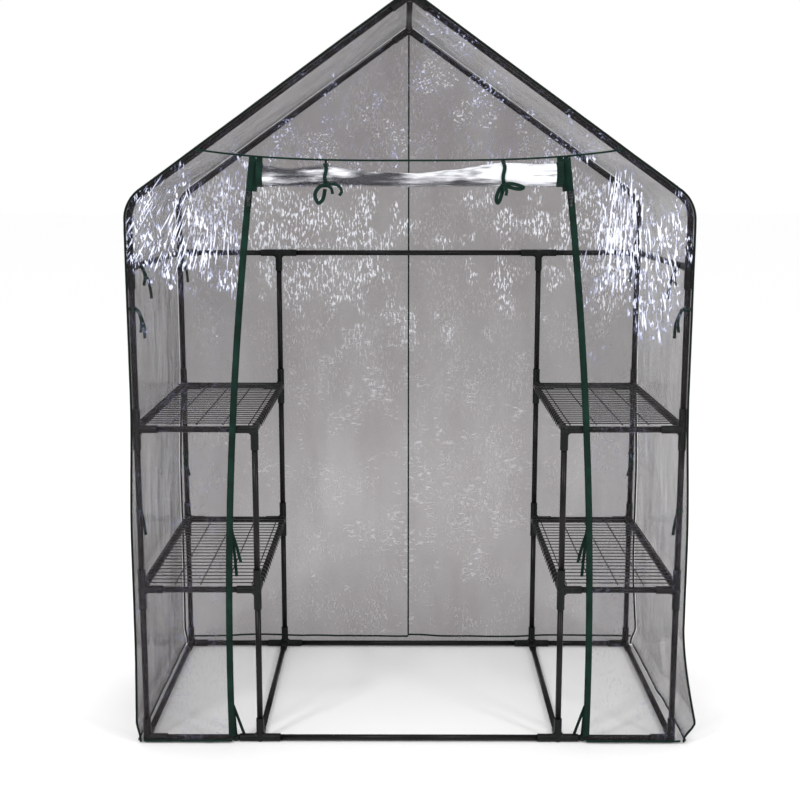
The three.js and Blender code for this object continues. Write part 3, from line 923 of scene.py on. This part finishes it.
def roof_sag(points):
    """How far the roof film hangs in between the rafters, clear of the ridge bar and the eaves."""
    x, y, z = points.T
    share = np.clip((y - FRONT_FILM_Y) / (BACK_FILM_Y - FRONT_FILM_Y), 0, 1)
    from_ridge = smooth_step(np.abs(x), 0.02, 0.20)
    from_eaves = smooth_step(z, BEND_Z, BEND_Z + 0.15)
    return ROOF_SAG * np.sin(share * math.pi) * from_ridge * from_eaves


def settle(points, outward):
    """Moves points of the flat cover to where the creased, slightly loose film lies."""
    height = crease_height(points) - roof_sag(points)
    for sign in SIDES.values():
        for y in (FRONT_FILM_Y, BACK_FILM_Y):
            height += fan_folds(points, (sign * FILM_X, y, BEND_Z))
    moved = points + outward * (height * slackness(points))[:, None]
    moved[:, 0] += skirt_flare(points)
    return moved


# ---------------- film: panels

EDGE_R = 5 * MM
FILM_STEP = 6.5 * MM
SEAM_REACH = 0.55
SEAM_PULL = 0.15


def cover_profile():
    """The cover's outline from hem to ridge on the right, as rows of x, z and the outward direction."""
    rows = []

    def stretch(start, end, normal):
        count = max(2, round((end - start).length / FILM_STEP))
        for i in range(count):
            point = start.lerp(end, i / count)
            rows.append((point.x, point.z, normal.x, normal.z))

    def bend(middle, radius, start, end):
        count = max(4, round(radius * abs(end - start) / FILM_STEP * 2))
        for i in range(count):
            angle = start + (end - start) * i / count
            c, s = math.cos(angle), math.sin(angle)
            rows.append((middle.x + radius * c, middle.z + radius * s, c, s))

    bend_middle = Vector((POST_X - BEND_R, 0, BEND_Z - BEND_TANGENT))
    slope_angle = math.pi / 2 - PITCH
    slope_normal = Vector((math.cos(slope_angle), 0, math.sin(slope_angle)))
    bend_radius = BEND_R + FILM_GAP
    stretch(Vector((FILM_X, 0, HEM_Z)), Vector((FILM_X, 0, bend_middle.z)), X)
    bend(bend_middle, bend_radius, 0, slope_angle)
    ridge = Vector((0, 0, RIDGE_Z))
    stretch(bend_middle + slope_normal * bend_radius, ridge + slope_normal * FILM_GAP, slope_normal)
    bend(ridge, FILM_GAP, slope_angle, math.pi / 2)
    rows.append((0, RIDGE_Z + FILM_GAP, 0, 1))
    return np.array(rows)


PROFILE = cover_profile()
INSET_X = PROFILE[:, 0] - PROFILE[:, 2] * EDGE_R
INSET_Z = PROFILE[:, 1] - PROFILE[:, 3] * EDGE_R
TOP_Z = float(INSET_Z.max())


def outer_x(z):
    """How far the flat front and back panels reach from the middle at a height."""
    return np.interp(z, INSET_Z, INSET_X)


def pull_seam_up(points):
    """Lifts the film on both sides of the front seam, whose ends the rafters pull up."""
    x, _, z = points.T
    rise = SEAM_RISE * np.minimum(np.abs(x) / SEAM_REACH, 1) ** 3
    moved = points.copy()
    moved[:, 2] += rise * np.exp(-((z - SEAM_Z) / SEAM_PULL) ** 2)
    moved[:, 0] = np.sign(x) * np.minimum(np.abs(x), outer_x(moved[:, 2]))
    return moved


def grid_faces(rows, columns, flip):
    faces = []
    for r in range(rows - 1):
        for c in range(columns - 1):
            a = r * columns + c
            quad = (a, a + 1, a + columns + 1, a + columns)
            faces.append(quad[::-1] if flip else quad)
    return faces


def film_piece(name, points, outward, columns, flip, material, node):
    settled = settle(points, outward)
    piece = mesh_object(name, settled, grid_faces(len(settled) // columns, columns, flip), material)
    place_piece(piece, ROOT, [node])


def flat_panel(name, inner, sign, end, z_low, z_high, material, node):
    """A panel in the plane of the front or back, between an inner edge and the cover's outline."""
    y, facing = END_PANELS[end]
    height = z_high - z_low
    z_rows = np.linspace(z_low, z_high, max(3, round(height / FILM_STEP)))
    near, far = inner(z_rows), outer_x(z_rows)
    widest = float(np.max(far - near))
    columns = max(3, round(widest / FILM_STEP))
    share = np.linspace(0, 1, columns)
    x = sign * (near[:, None] + (far - near)[:, None] * share[None, :])
    z = np.repeat(z_rows[:, None], columns, axis=1)
    points = np.stack([x, np.full_like(x, y), z], axis=2).reshape(-1, 3)
    outward = np.zeros_like(points)
    outward[:, 1] = facing
    if end == "front":
        points = pull_seam_up(points)
    area = float(np.mean(far - near)) * height
    film_piece(name, points, outward, columns, sign * facing > 0, material, node)


def wrap_columns():
    """Across a wall from front to back: y, how far the turned edge draws in, and the outward parts."""
    turn = np.linspace(0, math.pi / 2, 6)
    steps = round((BACK_FILM_Y - FRONT_FILM_Y) / FILM_STEP)
    straight = np.linspace(FRONT_FILM_Y + EDGE_R, BACK_FILM_Y - EDGE_R, steps)[1:-1]

    def turned(a, edge_y, inward):
        y = edge_y + inward * EDGE_R * (1 - math.sin(a))
        return (y, EDGE_R * (1 - math.cos(a)), math.cos(a), -inward * math.sin(a))

    columns = [turned(a, FRONT_FILM_Y, 1) for a in turn[::-1]]
    columns += [(y, 0.0, 1.0, 0.0) for y in straight]
    columns += [turned(a, BACK_FILM_Y, -1) for a in turn]
    return np.array(columns)


def wrap_panel(name, sign, first, last, material, node):
    """A side wall or roof slope, its front and back edges turned over the tubes onto the end panels."""
    rows = PROFILE[first:last]
    across = wrap_columns()
    y, drawn_in, sideways, endways = across.T
    x = sign * (rows[:, None, 0] - rows[:, None, 2] * drawn_in[None, :])
    z = rows[:, None, 1] - rows[:, None, 3] * drawn_in[None, :]
    points = np.stack([x, np.tile(y, (len(rows), 1)), z], axis=2).reshape(-1, 3)
    outward = np.stack([sign * rows[:, None, 2] * sideways[None, :], np.tile(endways, (len(rows), 1)),
                        rows[:, None, 3] * sideways[None, :]], axis=2).reshape(-1, 3)
    film_piece(name, points, outward, len(across), sign < 0, material, node)


def make_cover(front_film, side_film, back_film):
    top = TOP_Z - 1 * MM
    middle = np.zeros_like
    eave_row = int(np.argmax(PROFILE[:, 1] > BEND_Z - BEND_TANGENT * 0.4))
    for side, sign in SIDES.items():
        flap_node = f"cover_front_{side}"
        flat_panel(f"film_front_flap_{side}", zip_x, sign, "front", HEM_Z, SEAM_Z, front_film, flap_node)
        flat_panel(f"film_gable_{side}", middle, sign, "front", SEAM_Z, top, front_film, "cover_gable_front")
        flat_panel(f"film_back_{side}", middle, sign, "back", HEM_Z, top, back_film, "cover_back")
        wrap_panel(f"film_side_{side}", sign, 0, eave_row + 1, side_film, f"cover_side_{side}")
        wrap_panel(f"film_roof_{side}", sign, eave_row, len(PROFILE), side_film, f"cover_roof_{side}")


# ---------------- piping, seams and hems

PIPING_R = 3 * MM
SEAM_PIPING_R = 2.4 * MM
PIPING_SIDES = 8
HEM_LINE_Z = HEM_Z + 26 * MM
HEM_FOOT_Z = HEM_Z + PIPING_R
HEM_STEP = 12 * MM
FRONT_HEM_STEP = 10 * MM
HEM_WAVE = 4 * MM
HEM_WAVELENGTH = 0.16


def make_piping(name, points, outward, node, material, radius=PIPING_R):
    """A thin round binding sewn along a line of the cover, lying on the settled film."""
    outward = np.broadcast_to(np.array(outward, float), points.shape)
    binding = Parts()
    binding.bar(settle(points, outward) + outward * radius * 0.4, radius, PIPING_SIDES)
    binding.piece(name, material, [node])


def line_of(x, y, z):
    return np.stack(np.broadcast_arrays(*(np.asarray(part, float) for part in (x, y, z))), axis=1)


def make_hems(side, sign, green):
    """The bindings along the foot of one half of the cover: a wavy one behind, level ones elsewhere."""
    hem_x = np.arange(0, outer_x(HEM_LINE_Z), HEM_STEP)
    wave = HEM_WAVE * lattice(line_of(hem_x / HEM_WAVELENGTH, sign, 0), 61)
    hem = line_of(sign * hem_x, BACK_FILM_Y, HEM_LINE_Z + wave)
    make_piping(f"piping_hem_back_{side}", hem, (0, 1, 0), "cover_back", green)
    hem_x = np.arange(zip_x(HEM_LINE_Z), outer_x(HEM_LINE_Z), FRONT_HEM_STEP)
    hem = line_of(sign * hem_x, FRONT_FILM_Y, HEM_FOOT_Z)
    make_piping(f"piping_hem_front_{side}", hem, (0, -1, 0), f"cover_front_{side}", green)
    hem_y = np.arange(FRONT_FILM_Y + EDGE_R, BACK_FILM_Y - EDGE_R, HEM_STEP)
    hem = line_of(sign * FILM_X, hem_y, HEM_FOOT_Z)
    make_piping(f"piping_hem_{side}", hem, (sign, 0, 0), f"cover_side_{side}", green)


def make_all_piping(green, dark_green):
    rows = slice(0, len(INSET_X), 2)
    for side, sign in SIDES.items():
        for end, (y, facing) in END_PANELS.items():
            edge = line_of(sign * INSET_X[rows], y, INSET_Z[rows])
            corner = line_of(sign * PROFILE[rows, 2], facing, PROFILE[rows, 3]) / math.sqrt(2)
            node = f"cover_front_{side}" if end == "front" else "cover_back"
            make_piping(f"piping_edge_{end}_{side}", edge, corner, node, dark_green)
        make_hems(side, sign, green)
    seam_x = np.linspace(-outer_x(SEAM_Z + SEAM_RISE), outer_x(SEAM_Z + SEAM_RISE), 90)
    seam = pull_seam_up(line_of(seam_x, FRONT_FILM_Y, SEAM_Z))
    make_piping("piping_gable_seam", seam, (0, -1, 0), "cover_gable_front", green, SEAM_PIPING_R)
    seam = line_of(0.0, BACK_FILM_Y, np.arange(HEM_LINE_Z, TOP_Z, HEM_STEP))
    make_piping("piping_back_seam", seam, (0, 1, 0), "cover_back", green, SEAM_PIPING_R)


# ---------------- zips

TAPE_LOW, TAPE_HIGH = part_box("zip_tape_right")
TAPE_Y = (TAPE_LOW.y + TAPE_HIGH.y) / 2
TAPE_WIDTH = 17 * MM
TAPE_THICK = 1.6 * MM
TAPE_ABOVE_SEAM = 10 * MM
TOOTH_PITCH = 3.2 * MM
TOOTH_HALF = Vector((1.5, 0.9, 0.95)) * MM
TEETH_MARGIN = 4 * MM
SPLIT_Z = ZIP_SLIDER.z + 12 * MM

# The slider's plate: how far up it each width lies, from -1 at its foot to 1 at its head.
PLATE_WIDTHS = {-1.0: 6.4, -0.85: 7.8, -0.4: 9.0, 0.1: 10.6, 0.6: 12.0, 0.9: 11.4, 1.0: 9.2}
PLATE_THICK = 2.4 * MM
FLANGE_R = 1.1 * MM
EAR_X = 3.9 * MM
EAR_R = 1.0 * MM
PIN_HALF = 4.4 * MM
PIN_R = 0.8 * MM

# The pull hangs from the pin by a ring. Its rim is given as half widths, each with a height.
RING_R = 2.6 * MM
RING_WIRE_R = 0.7 * MM
PULL_THICK = 1.5 * MM
RIM_R = 0.9 * MM


def zip_line(sign, inwards, z_values):
    """Points beside the zip line, moved inwards towards the door."""
    return [Vector((sign * (float(zip_x(z)) - inwards), TAPE_Y, z)) for z in z_values]


def make_zip(side, sign, green, metal):
    """The cover's half of a zip, and above the slider also the door's half, with one row of teeth."""
    node = f"zip_tape_{side}"
    tape = Parts()
    heights = np.linspace(TAPE_LOW.z, SEAM_Z + TAPE_ABOVE_SEAM, 120)
    tape.strap(zip_line(sign, 0.0, heights), -Y, TAPE_WIDTH, TAPE_THICK)
    upper = np.linspace(SPLIT_Z - 2 * MM, SEAM_Z + 4 * MM, 8)
    tape.strap(zip_line(sign, TAPE_WIDTH * 0.80, upper), -Y, TAPE_WIDTH * 0.7, TAPE_THICK)
    tape.piece(f"zip_binding_{side}", green, [node])

    teeth = Parts()
    for z in np.arange(TAPE_LOW.z + TEETH_MARGIN, SEAM_Z - TEETH_MARGIN, TOOTH_PITCH):
        x = sign * (float(zip_x(z)) - TAPE_WIDTH * 0.46)
        lean = -sign * math.asin((z - ZIP_CENTRE.z) / ZIP_R)
        teeth.block(Vector((x, TAPE_Y - 0.7 * MM, z)), TOOTH_HALF, lean)
    teeth.piece(f"zip_teeth_{side}", green, [node])
    make_slider(side, metal)
    make_pull(side, metal)


def make_slider(side, metal):
    """A small die-cast slider: a plate with turned edges, and two ears that hold the pull's pin."""
    low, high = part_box(f"zip_slider_{side}")
    middle = (low + high) / 2
    plate_y = high.y - 1.4 * MM
    half_height = (high.z - low.z) / 2
    widths = [width * MM for width in PLATE_WIDTHS.values()]
    plate = [Vector((middle.x, plate_y, middle.z + half_height * k)) for k in PLATE_WIDTHS]
    pin = joint_position(f"zip_pull_{side}_flip")
    front_y = pin.y - 1.2 * MM
    body = Parts()
    body.strap(plate, -Y, widths, PLATE_THICK)
    for edge in (-1, 1):
        flange = [Vector((middle.x + edge * w / 2, plate_y + 0.8 * MM, p.z)) for p, w in zip(plate, widths)]
        body.bar(flange[1:-1], FLANGE_R, 8)
    for edge in (-1, 1):
        ear_x = middle.x + edge * EAR_X
        ear = ((plate_y, 3.2), (front_y, 1.2), (front_y, -1.4), (plate_y, -3.4))
        body.bar(curve_through([(ear_x, y, pin.z + up * MM) for y, up in ear]), EAR_R, 8)
    body.bar([(middle.x - PIN_HALF, pin.y, pin.z), (middle.x + PIN_HALF, pin.y, pin.z)], PIN_R)
    body.piece(f"slider_body_{side}", metal, [f"zip_slider_{side}"], "zip_metal", f"slider_{side}")


def make_pull(side, metal):
    """A pull that hangs from the slider's pin on a ring: a tab that widens downwards, with a rim."""
    pin = joint_position(f"zip_pull_{side}_flip")
    x, y = centre(f"zip_slider_{side}").x, pin.y
    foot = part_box(f"zip_pull_{side}")[0].z
    pull = Parts()
    ring = arc_points(Vector((x, y, pin.z - 2.0 * MM)), RING_R, 0, 2 * math.pi, 16, (X, Z))
    pull.bar(ring, RING_WIRE_R, 8)
    tab = ((pin.z - 4.6 * MM, 4.4), (pin.z - 6 * MM, 5.6), (pin.z - 12 * MM, 5.6),
           (foot + 8 * MM, 7.4), (foot + 2 * MM, 7.8), (foot, 6.0))
    pull.strap([(x, y, z) for z, _ in tab], -Y, [width * MM for _, width in tab], PULL_THICK)
    half_rim = ((2.9, pin.z - 7 * MM), (3.4, foot + 8 * MM), (2.6, foot + 1.0 * MM))
    rim = [(x - half * MM, y, z) for half, z in half_rim]
    rim += [(x + half * MM, y, z) for half, z in half_rim[::-1]]
    pull.bar(curve_through(rim), RIM_R, 8)
    pull.piece(f"pull_tab_{side}", metal, [f"zip_pull_{side}"], "zip_metal", f"pull_{side}")


# ---------------- rolled door and its ties

ROLL_LOW, ROLL_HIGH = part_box("door_roll")
ROLL_Y = (ROLL_LOW.y + ROLL_HIGH.y) / 2
ROLL_DEPTH = ROLL_HIGH.y - ROLL_LOW.y
ROLL_HALF = ROLL_HIGH.x
TIES = {"left": -0.208, "right": 0.232}

# The roll: its turns, how large its innermost turn is, and the width of the bound edges at its ends. Where
# it is as high as ROLL_FULL_HEIGHT it is as deep as the CAD's. Where it is lower, its depth shrinks by
# ROLL_GIVE of the share by which its height does.
ROLL_TURNS = 13
STEPS_PER_TURN = 26
CORE_SHARE = 0.12
ROLL_EDGE = 15 * MM
ROLL_FULL_HEIGHT = 64 * MM
ROLL_GIVE = 0.28

# The free film above the roll: rows of points, how far it stands out, and how much that varies.
STRIP_ROWS = 9
STRIP_BULGE = 8 * MM
STRIP_RIPPLE = 2 * MM

# The roll's full height along it, in millimetres: drawn up at the ties, slack and thinner between them.
ROLL_HEIGHTS = {
    -ROLL_HALF: 58, -0.30: 46, TIES["left"]: 56, -0.10: 40, 0.02: 34, 0.13: 46, TIES["right"]: 62, 0.31: 56,
    ROLL_HALF: 60,
}

BOW_WIDTH = 9.5 * MM
BOW_THICK = 1.0 * MM
KNOT_THICK = 5.0 * MM

# The ribbon of each bow, as steps in millimetres sideways and up from its knot: first loops, then tails.
BOWS = {
    "left": (
        [[(0, 0), (-16, -6), (-26, -24), (-18, -44), (-6, -34), (-1, -10)]],
        [[(0, 0), (20, 2), (34, -4), (40, -16), (34, -26)], [(4, -2), (14, -8), (18, -22)]],
    ),
    "right": (
        [[(0, 0), (-10, -10), (-18, -30), (-16, -44), (-9, -36), (-1, -8)],
         [(0, 0), (18, 3), (40, -2), (48, -7), (34, -10), (4, -3)]],
        [[(2, -2), (7, -14), (5, -26)], [(0, -2), (1, -16)]],
    ),
}


def roll_height(x):
    heights = [height * MM for height in ROLL_HEIGHTS.values()]
    return np.interp(x, list(ROLL_HEIGHTS), heights)


def roll_sheet(x_values, swell):
    """Rows of points on the rolled-up part of the door sheet, from its core out."""
    rows = []
    x = np.asarray(x_values, float)
    height = roll_height(x) * swell
    depth = ROLL_DEPTH * (1 - ROLL_GIVE + ROLL_GIVE * height / ROLL_FULL_HEIGHT)
    middle_z = ROLL_LOW.z + 2 * MM + height / 2
    total = ROLL_TURNS * STEPS_PER_TURN
    for i in range(total + 1):
        turns = i / STEPS_PER_TURN
        angle = 2 * math.pi * turns - math.pi / 2
        c, s = math.cos(angle), math.sin(angle)
        share = CORE_SHARE + (1 - CORE_SHARE) * i / total
        shake = lattice(line_of(x / 0.030, c * 1.3, s * 1.3 + turns * 3), 71)
        fine = lattice(line_of(x / 0.011, c * 2.5, s * 2.5 + turns * 5), 72)
        rough = 1.0 * MM * shake + 0.4 * MM * fine
        y = ROLL_Y - (depth / 2 * share + rough) * c
        z = middle_z + (height / 2 * share + rough) * s
        rows.append(np.stack([x, y, z], axis=1))
    return rows


def free_strip(last, x):
    """Rows of points on the short stretch of film between the roll and the seam that it hangs from."""
    seam = pull_seam_up(line_of(x, FRONT_FILM_Y, SEAM_Z))
    rows = []
    for t in np.linspace(0, 1, STRIP_ROWS):
        ripple = STRIP_RIPPLE * lattice(line_of(x / 0.05, t * 2, 0), 73)
        row = last * (1 - t) + seam * t
        row[:, 1] += math.sin(t * math.pi) * (ripple - STRIP_BULGE)
        rows.append(row)
    return rows


def door_piece(name, rows, flip, material):
    faces = grid_faces(len(rows), len(rows[0]), flip)
    piece = mesh_object(name, np.concatenate(rows), faces, material)
    return place_piece(piece, "rolled_door", ["door_roll"])


def make_roll(film, clear, green):
    """The door sheet wound up under the seam, its bound side edges, and the two ribbons that hold it."""
    x_values = np.arange(-ROLL_HALF + ROLL_EDGE, ROLL_HALF - ROLL_EDGE + 1 * MM, FILM_STEP)
    turns = roll_sheet(x_values, 1.0)
    roll = door_piece("rolled_door_sheet", turns, False, film)
    others = [door_piece("rolled_door_top", free_strip(turns[-1], x_values), False, clear)]
    for side, sign in SIDES.items():
        edge_x = sign * (ROLL_HALF - np.linspace(0, ROLL_EDGE, 5))
        turns = roll_sheet(edge_x, 1.07)
        turns += free_strip(turns[-1], edge_x)[1:]
        others.append(door_piece(f"rolled_door_edge_{side}", turns, sign > 0, green))
    for side, x in TIES.items():
        others.append(make_tie(side, x, green))


def make_tie(side, x, green):
    """A ribbon around the roll, tied in a bow under its front."""
    tie = Parts()
    height = float(roll_height(x)) + 3 * MM
    depth = ROLL_DEPTH + 3 * MM
    middle_z = ROLL_LOW.z + 1 * MM + height / 2
    path = [Vector((x, FRONT_FILM_Y - 2 * MM, SEAM_Z))]
    facing = [-Y]
    for i, angle in enumerate(np.radians(np.linspace(100, 440, 25))):
        out = Vector((0, -math.cos(angle), math.sin(angle)))
        sway = 2 * MM * math.sin(i)
        path.append(Vector((x + sway, ROLL_Y + out.y * depth / 2, middle_z + out.z * height / 2)))
        facing.append(out)
    tie.strap(path, facing, BOW_WIDTH, BOW_THICK)

    knot = Vector((x, ROLL_Y - depth / 2 + 4 * MM, middle_z - height / 2 + 6 * MM))
    tie.strap([knot + X * 6 * MM, knot - Y * 3 * MM, knot - X * 6 * MM], Z, 11 * MM, KNOT_THICK)
    loops, tails = BOWS[side]
    bow_facing = (-Y + Z * 0.35 + X * 0.2).normalized()
    for n, shape in enumerate(loops + tails):
        forward = 2 + 3 * n
        steps = [Vector((dx, -forward - abs(dz) * 0.12, dz)) * MM for dx, dz in shape]
        width = BOW_WIDTH if n < len(loops) else BOW_WIDTH * 0.8
        tie.strap(curve_through([knot + step for step in steps]), bow_facing, width, BOW_THICK)
    return tie.piece(f"ribbon_tie_{side}", green, [f"door_tie_{side}"], "green_tape", "rolled_door")


# ---------------- ribbons that hold the cover to the frame

RIBBON_WIDTH = 8 * MM
RIBBON_THICK = 0.9 * MM
RIBBON_KNOT_THICK = 4.0 * MM
KNOT_BULGE = 3 * MM
LOOP_R = TUBE_R + 1.0 * MM
LOOP_STEPS = 18

# The ends of each kind of ribbon, in millimetres: inwards from the side, into the greenhouse, and down.
EAVE_TAILS = ((22, 10, 85), (6, -6, 50))
POST_TAILS = ((12, 0, 70), (-2, 0, 55))
UPPER_TAILS = ((16, 4, 75), (6, 2, 60))
ZIP_TAILS = ((22, 4, 85), (10, 8, 125))


def add_knot(tie, place, out, width, half_height):
    """A short thick strap that bulges outwards."""
    reach = Z * half_height
    tie.strap([place - reach, place + out * KNOT_BULGE, place + reach], out, width, RIBBON_KNOT_THICK)


def add_tails(tie, start, out, sign, step, tails):
    """Ribbon ends that hang from a knot, turned towards the door."""
    start = start + out * 4 * MM
    facing = (out * 0.5 - Y).normalized()
    for inwards, into, drop in tails:
        end = start + Vector((-sign * inwards, step * into, -drop)) * MM
        bow = start.lerp(end, 0.5) + out * 6 * MM
        tie.strap(curve_through([start, bow, end]), facing, RIBBON_WIDTH, RIBBON_THICK)


def add_loop(tie, place, plane):
    """A ribbon once around a tube, in the plane of two unit vectors. Returns where it starts."""
    loop = arc_points(place, LOOP_R, 0, 2 * math.pi, LOOP_STEPS, plane)
    tie.strap(loop, [(p - place).normalized() for p in loop], RIBBON_WIDTH, RIBBON_THICK)
    return loop[0]


def tube_ribbon(name, place, along, out, sign, step, tails, green, node):
    """A ribbon looped around a tube that runs along a direction, and knotted on its out side."""
    tie = Parts()
    knot = add_loop(tie, place, (out, along.cross(out)))
    add_knot(tie, knot, out, 10 * MM, 5 * MM)
    add_tails(tie, knot, out, sign, step, tails)
    tie.piece(name, green, [node])


def zip_ribbon(side, sign, green):
    """A knotted ribbon that hangs from the inside of the zip tape, some way above the lower shelf."""
    knot_z = SHELF_Z["lower"] + 0.16
    knot = Vector((sign * (float(zip_x(knot_z)) - 4 * MM), TAPE_Y + 6 * MM, knot_z))
    tie = Parts()
    tie.strap([knot + Z * 50 * MM + X * sign * MM, knot], Y, RIBBON_WIDTH, RIBBON_THICK)
    add_knot(tie, knot, Y, 11 * MM, 6 * MM)
    add_tails(tie, knot, Y, sign, 1, ZIP_TAILS)
    tie.piece(f"zip_ribbon_{side}", green, [f"zip_tape_{side}"])


def foot_ribbon(side, sign, green):
    """A ribbon sewn to the zip near its foot, whose two ends go around the front floor rail."""
    sewn_z = FLOOR_Z + 95 * MM
    sewn = Vector((sign * (float(zip_x(sewn_z)) - 6 * MM), TAPE_Y + 4 * MM, sewn_z))
    tie = Parts()
    for inwards in (4 * MM, 26 * MM):
        rail = Vector((sewn.x - sign * inwards, FRONT_Y, FLOOR_Z))
        top = add_loop(tie, rail, (Z, Y))
        tie.strap([sewn, top], -Y, RIBBON_WIDTH, RIBBON_THICK)
    tie.piece(f"foot_ribbon_{side}", green, [f"zip_tape_{side}"])


def make_inner_ribbons(green):
    between_shelves = (SHELF_Z["lower"] + SHELF_Z["upper"]) / 2
    for side, sign in SIDES.items():
        node = f"cover_side_{side}"
        inward = -X * sign
        for end, (y, step) in ENDS.items():
            eave = Vector((sign * POST_X, y + step * (ARM + 12 * MM), EAVE_Z))
            tube_ribbon(f"eave_ribbon_{end}_{side}", eave, Y, inward, sign, step, EAVE_TAILS, green, node)
            post = Vector((sign * POST_X, y, between_shelves))
            tube_ribbon(f"post_ribbon_{end}_{side}", post, Z, Y * step, sign, step, POST_TAILS, green, node)
        post = Vector((sign * POST_X, FRONT_Y, EAVE_Z - 105 * MM))
        tube_ribbon(f"upper_ribbon_{side}", post, Z, inward, sign, 1, UPPER_TAILS, green, node)
        zip_ribbon(side, sign, green)
        foot_ribbon(side, sign, green)


# ---------------- everything

# The colours of the film's dimmer painted highlights: cool in front, and neutral elsewhere.
COOL_GLINT = (0.45, 0.50, 0.86)
NEUTRAL_GLINT = (0.62, 0.62, 0.66)


def main():
    make_camera()
    make_world()
    make_stage()
    make_lights()
    steel = powder_coat()
    plastic = moulded_black()
    wire = coated_wire()
    green = woven_green("woven_green", 1.0)
    dark_green = woven_green("woven_green_edge", 0.35)
    metal = plated_metal()
    front_film = clear_film(
        "clear_film_front", face_on=0.13, edge_on=0.50, tint=(0.036, 0.027, 0.027), glint_edge=COOL_GLINT,
        gloss=0.4, low_down=0.07, left_shade=0.035, fanned=True)
    back_film = clear_film(
        "clear_film_back", face_on=0.735, edge_on=0.84, tint=(0.048, 0.026, 0.030), glint_edge=NEUTRAL_GLINT,
        gloss=0.2, low_down=-0.055)
    side_film = clear_film(
        "clear_film_side", face_on=0.26, edge_on=0.80, tint=(0.036, 0.024, 0.026), glint_edge=NEUTRAL_GLINT,
        gloss=0.3, low_down=0.09, left_shade=0.06)
    roll_film = rolled_film()
    make_post_tubes(steel)
    make_rail_tubes(steel)
    make_roof_tubes(steel)
    make_sleeves(plastic)
    for level in SHELF_Z:
        for side in SIDES:
            make_shelf(level, side, wire)
    make_cover(front_film, side_film, back_film)
    make_all_piping(green, dark_green)
    for side, sign in SIDES.items():
        make_zip(side, sign, green, metal)
    make_roll(roll_film, front_film, green)
    make_inner_ribbons(green)


main()
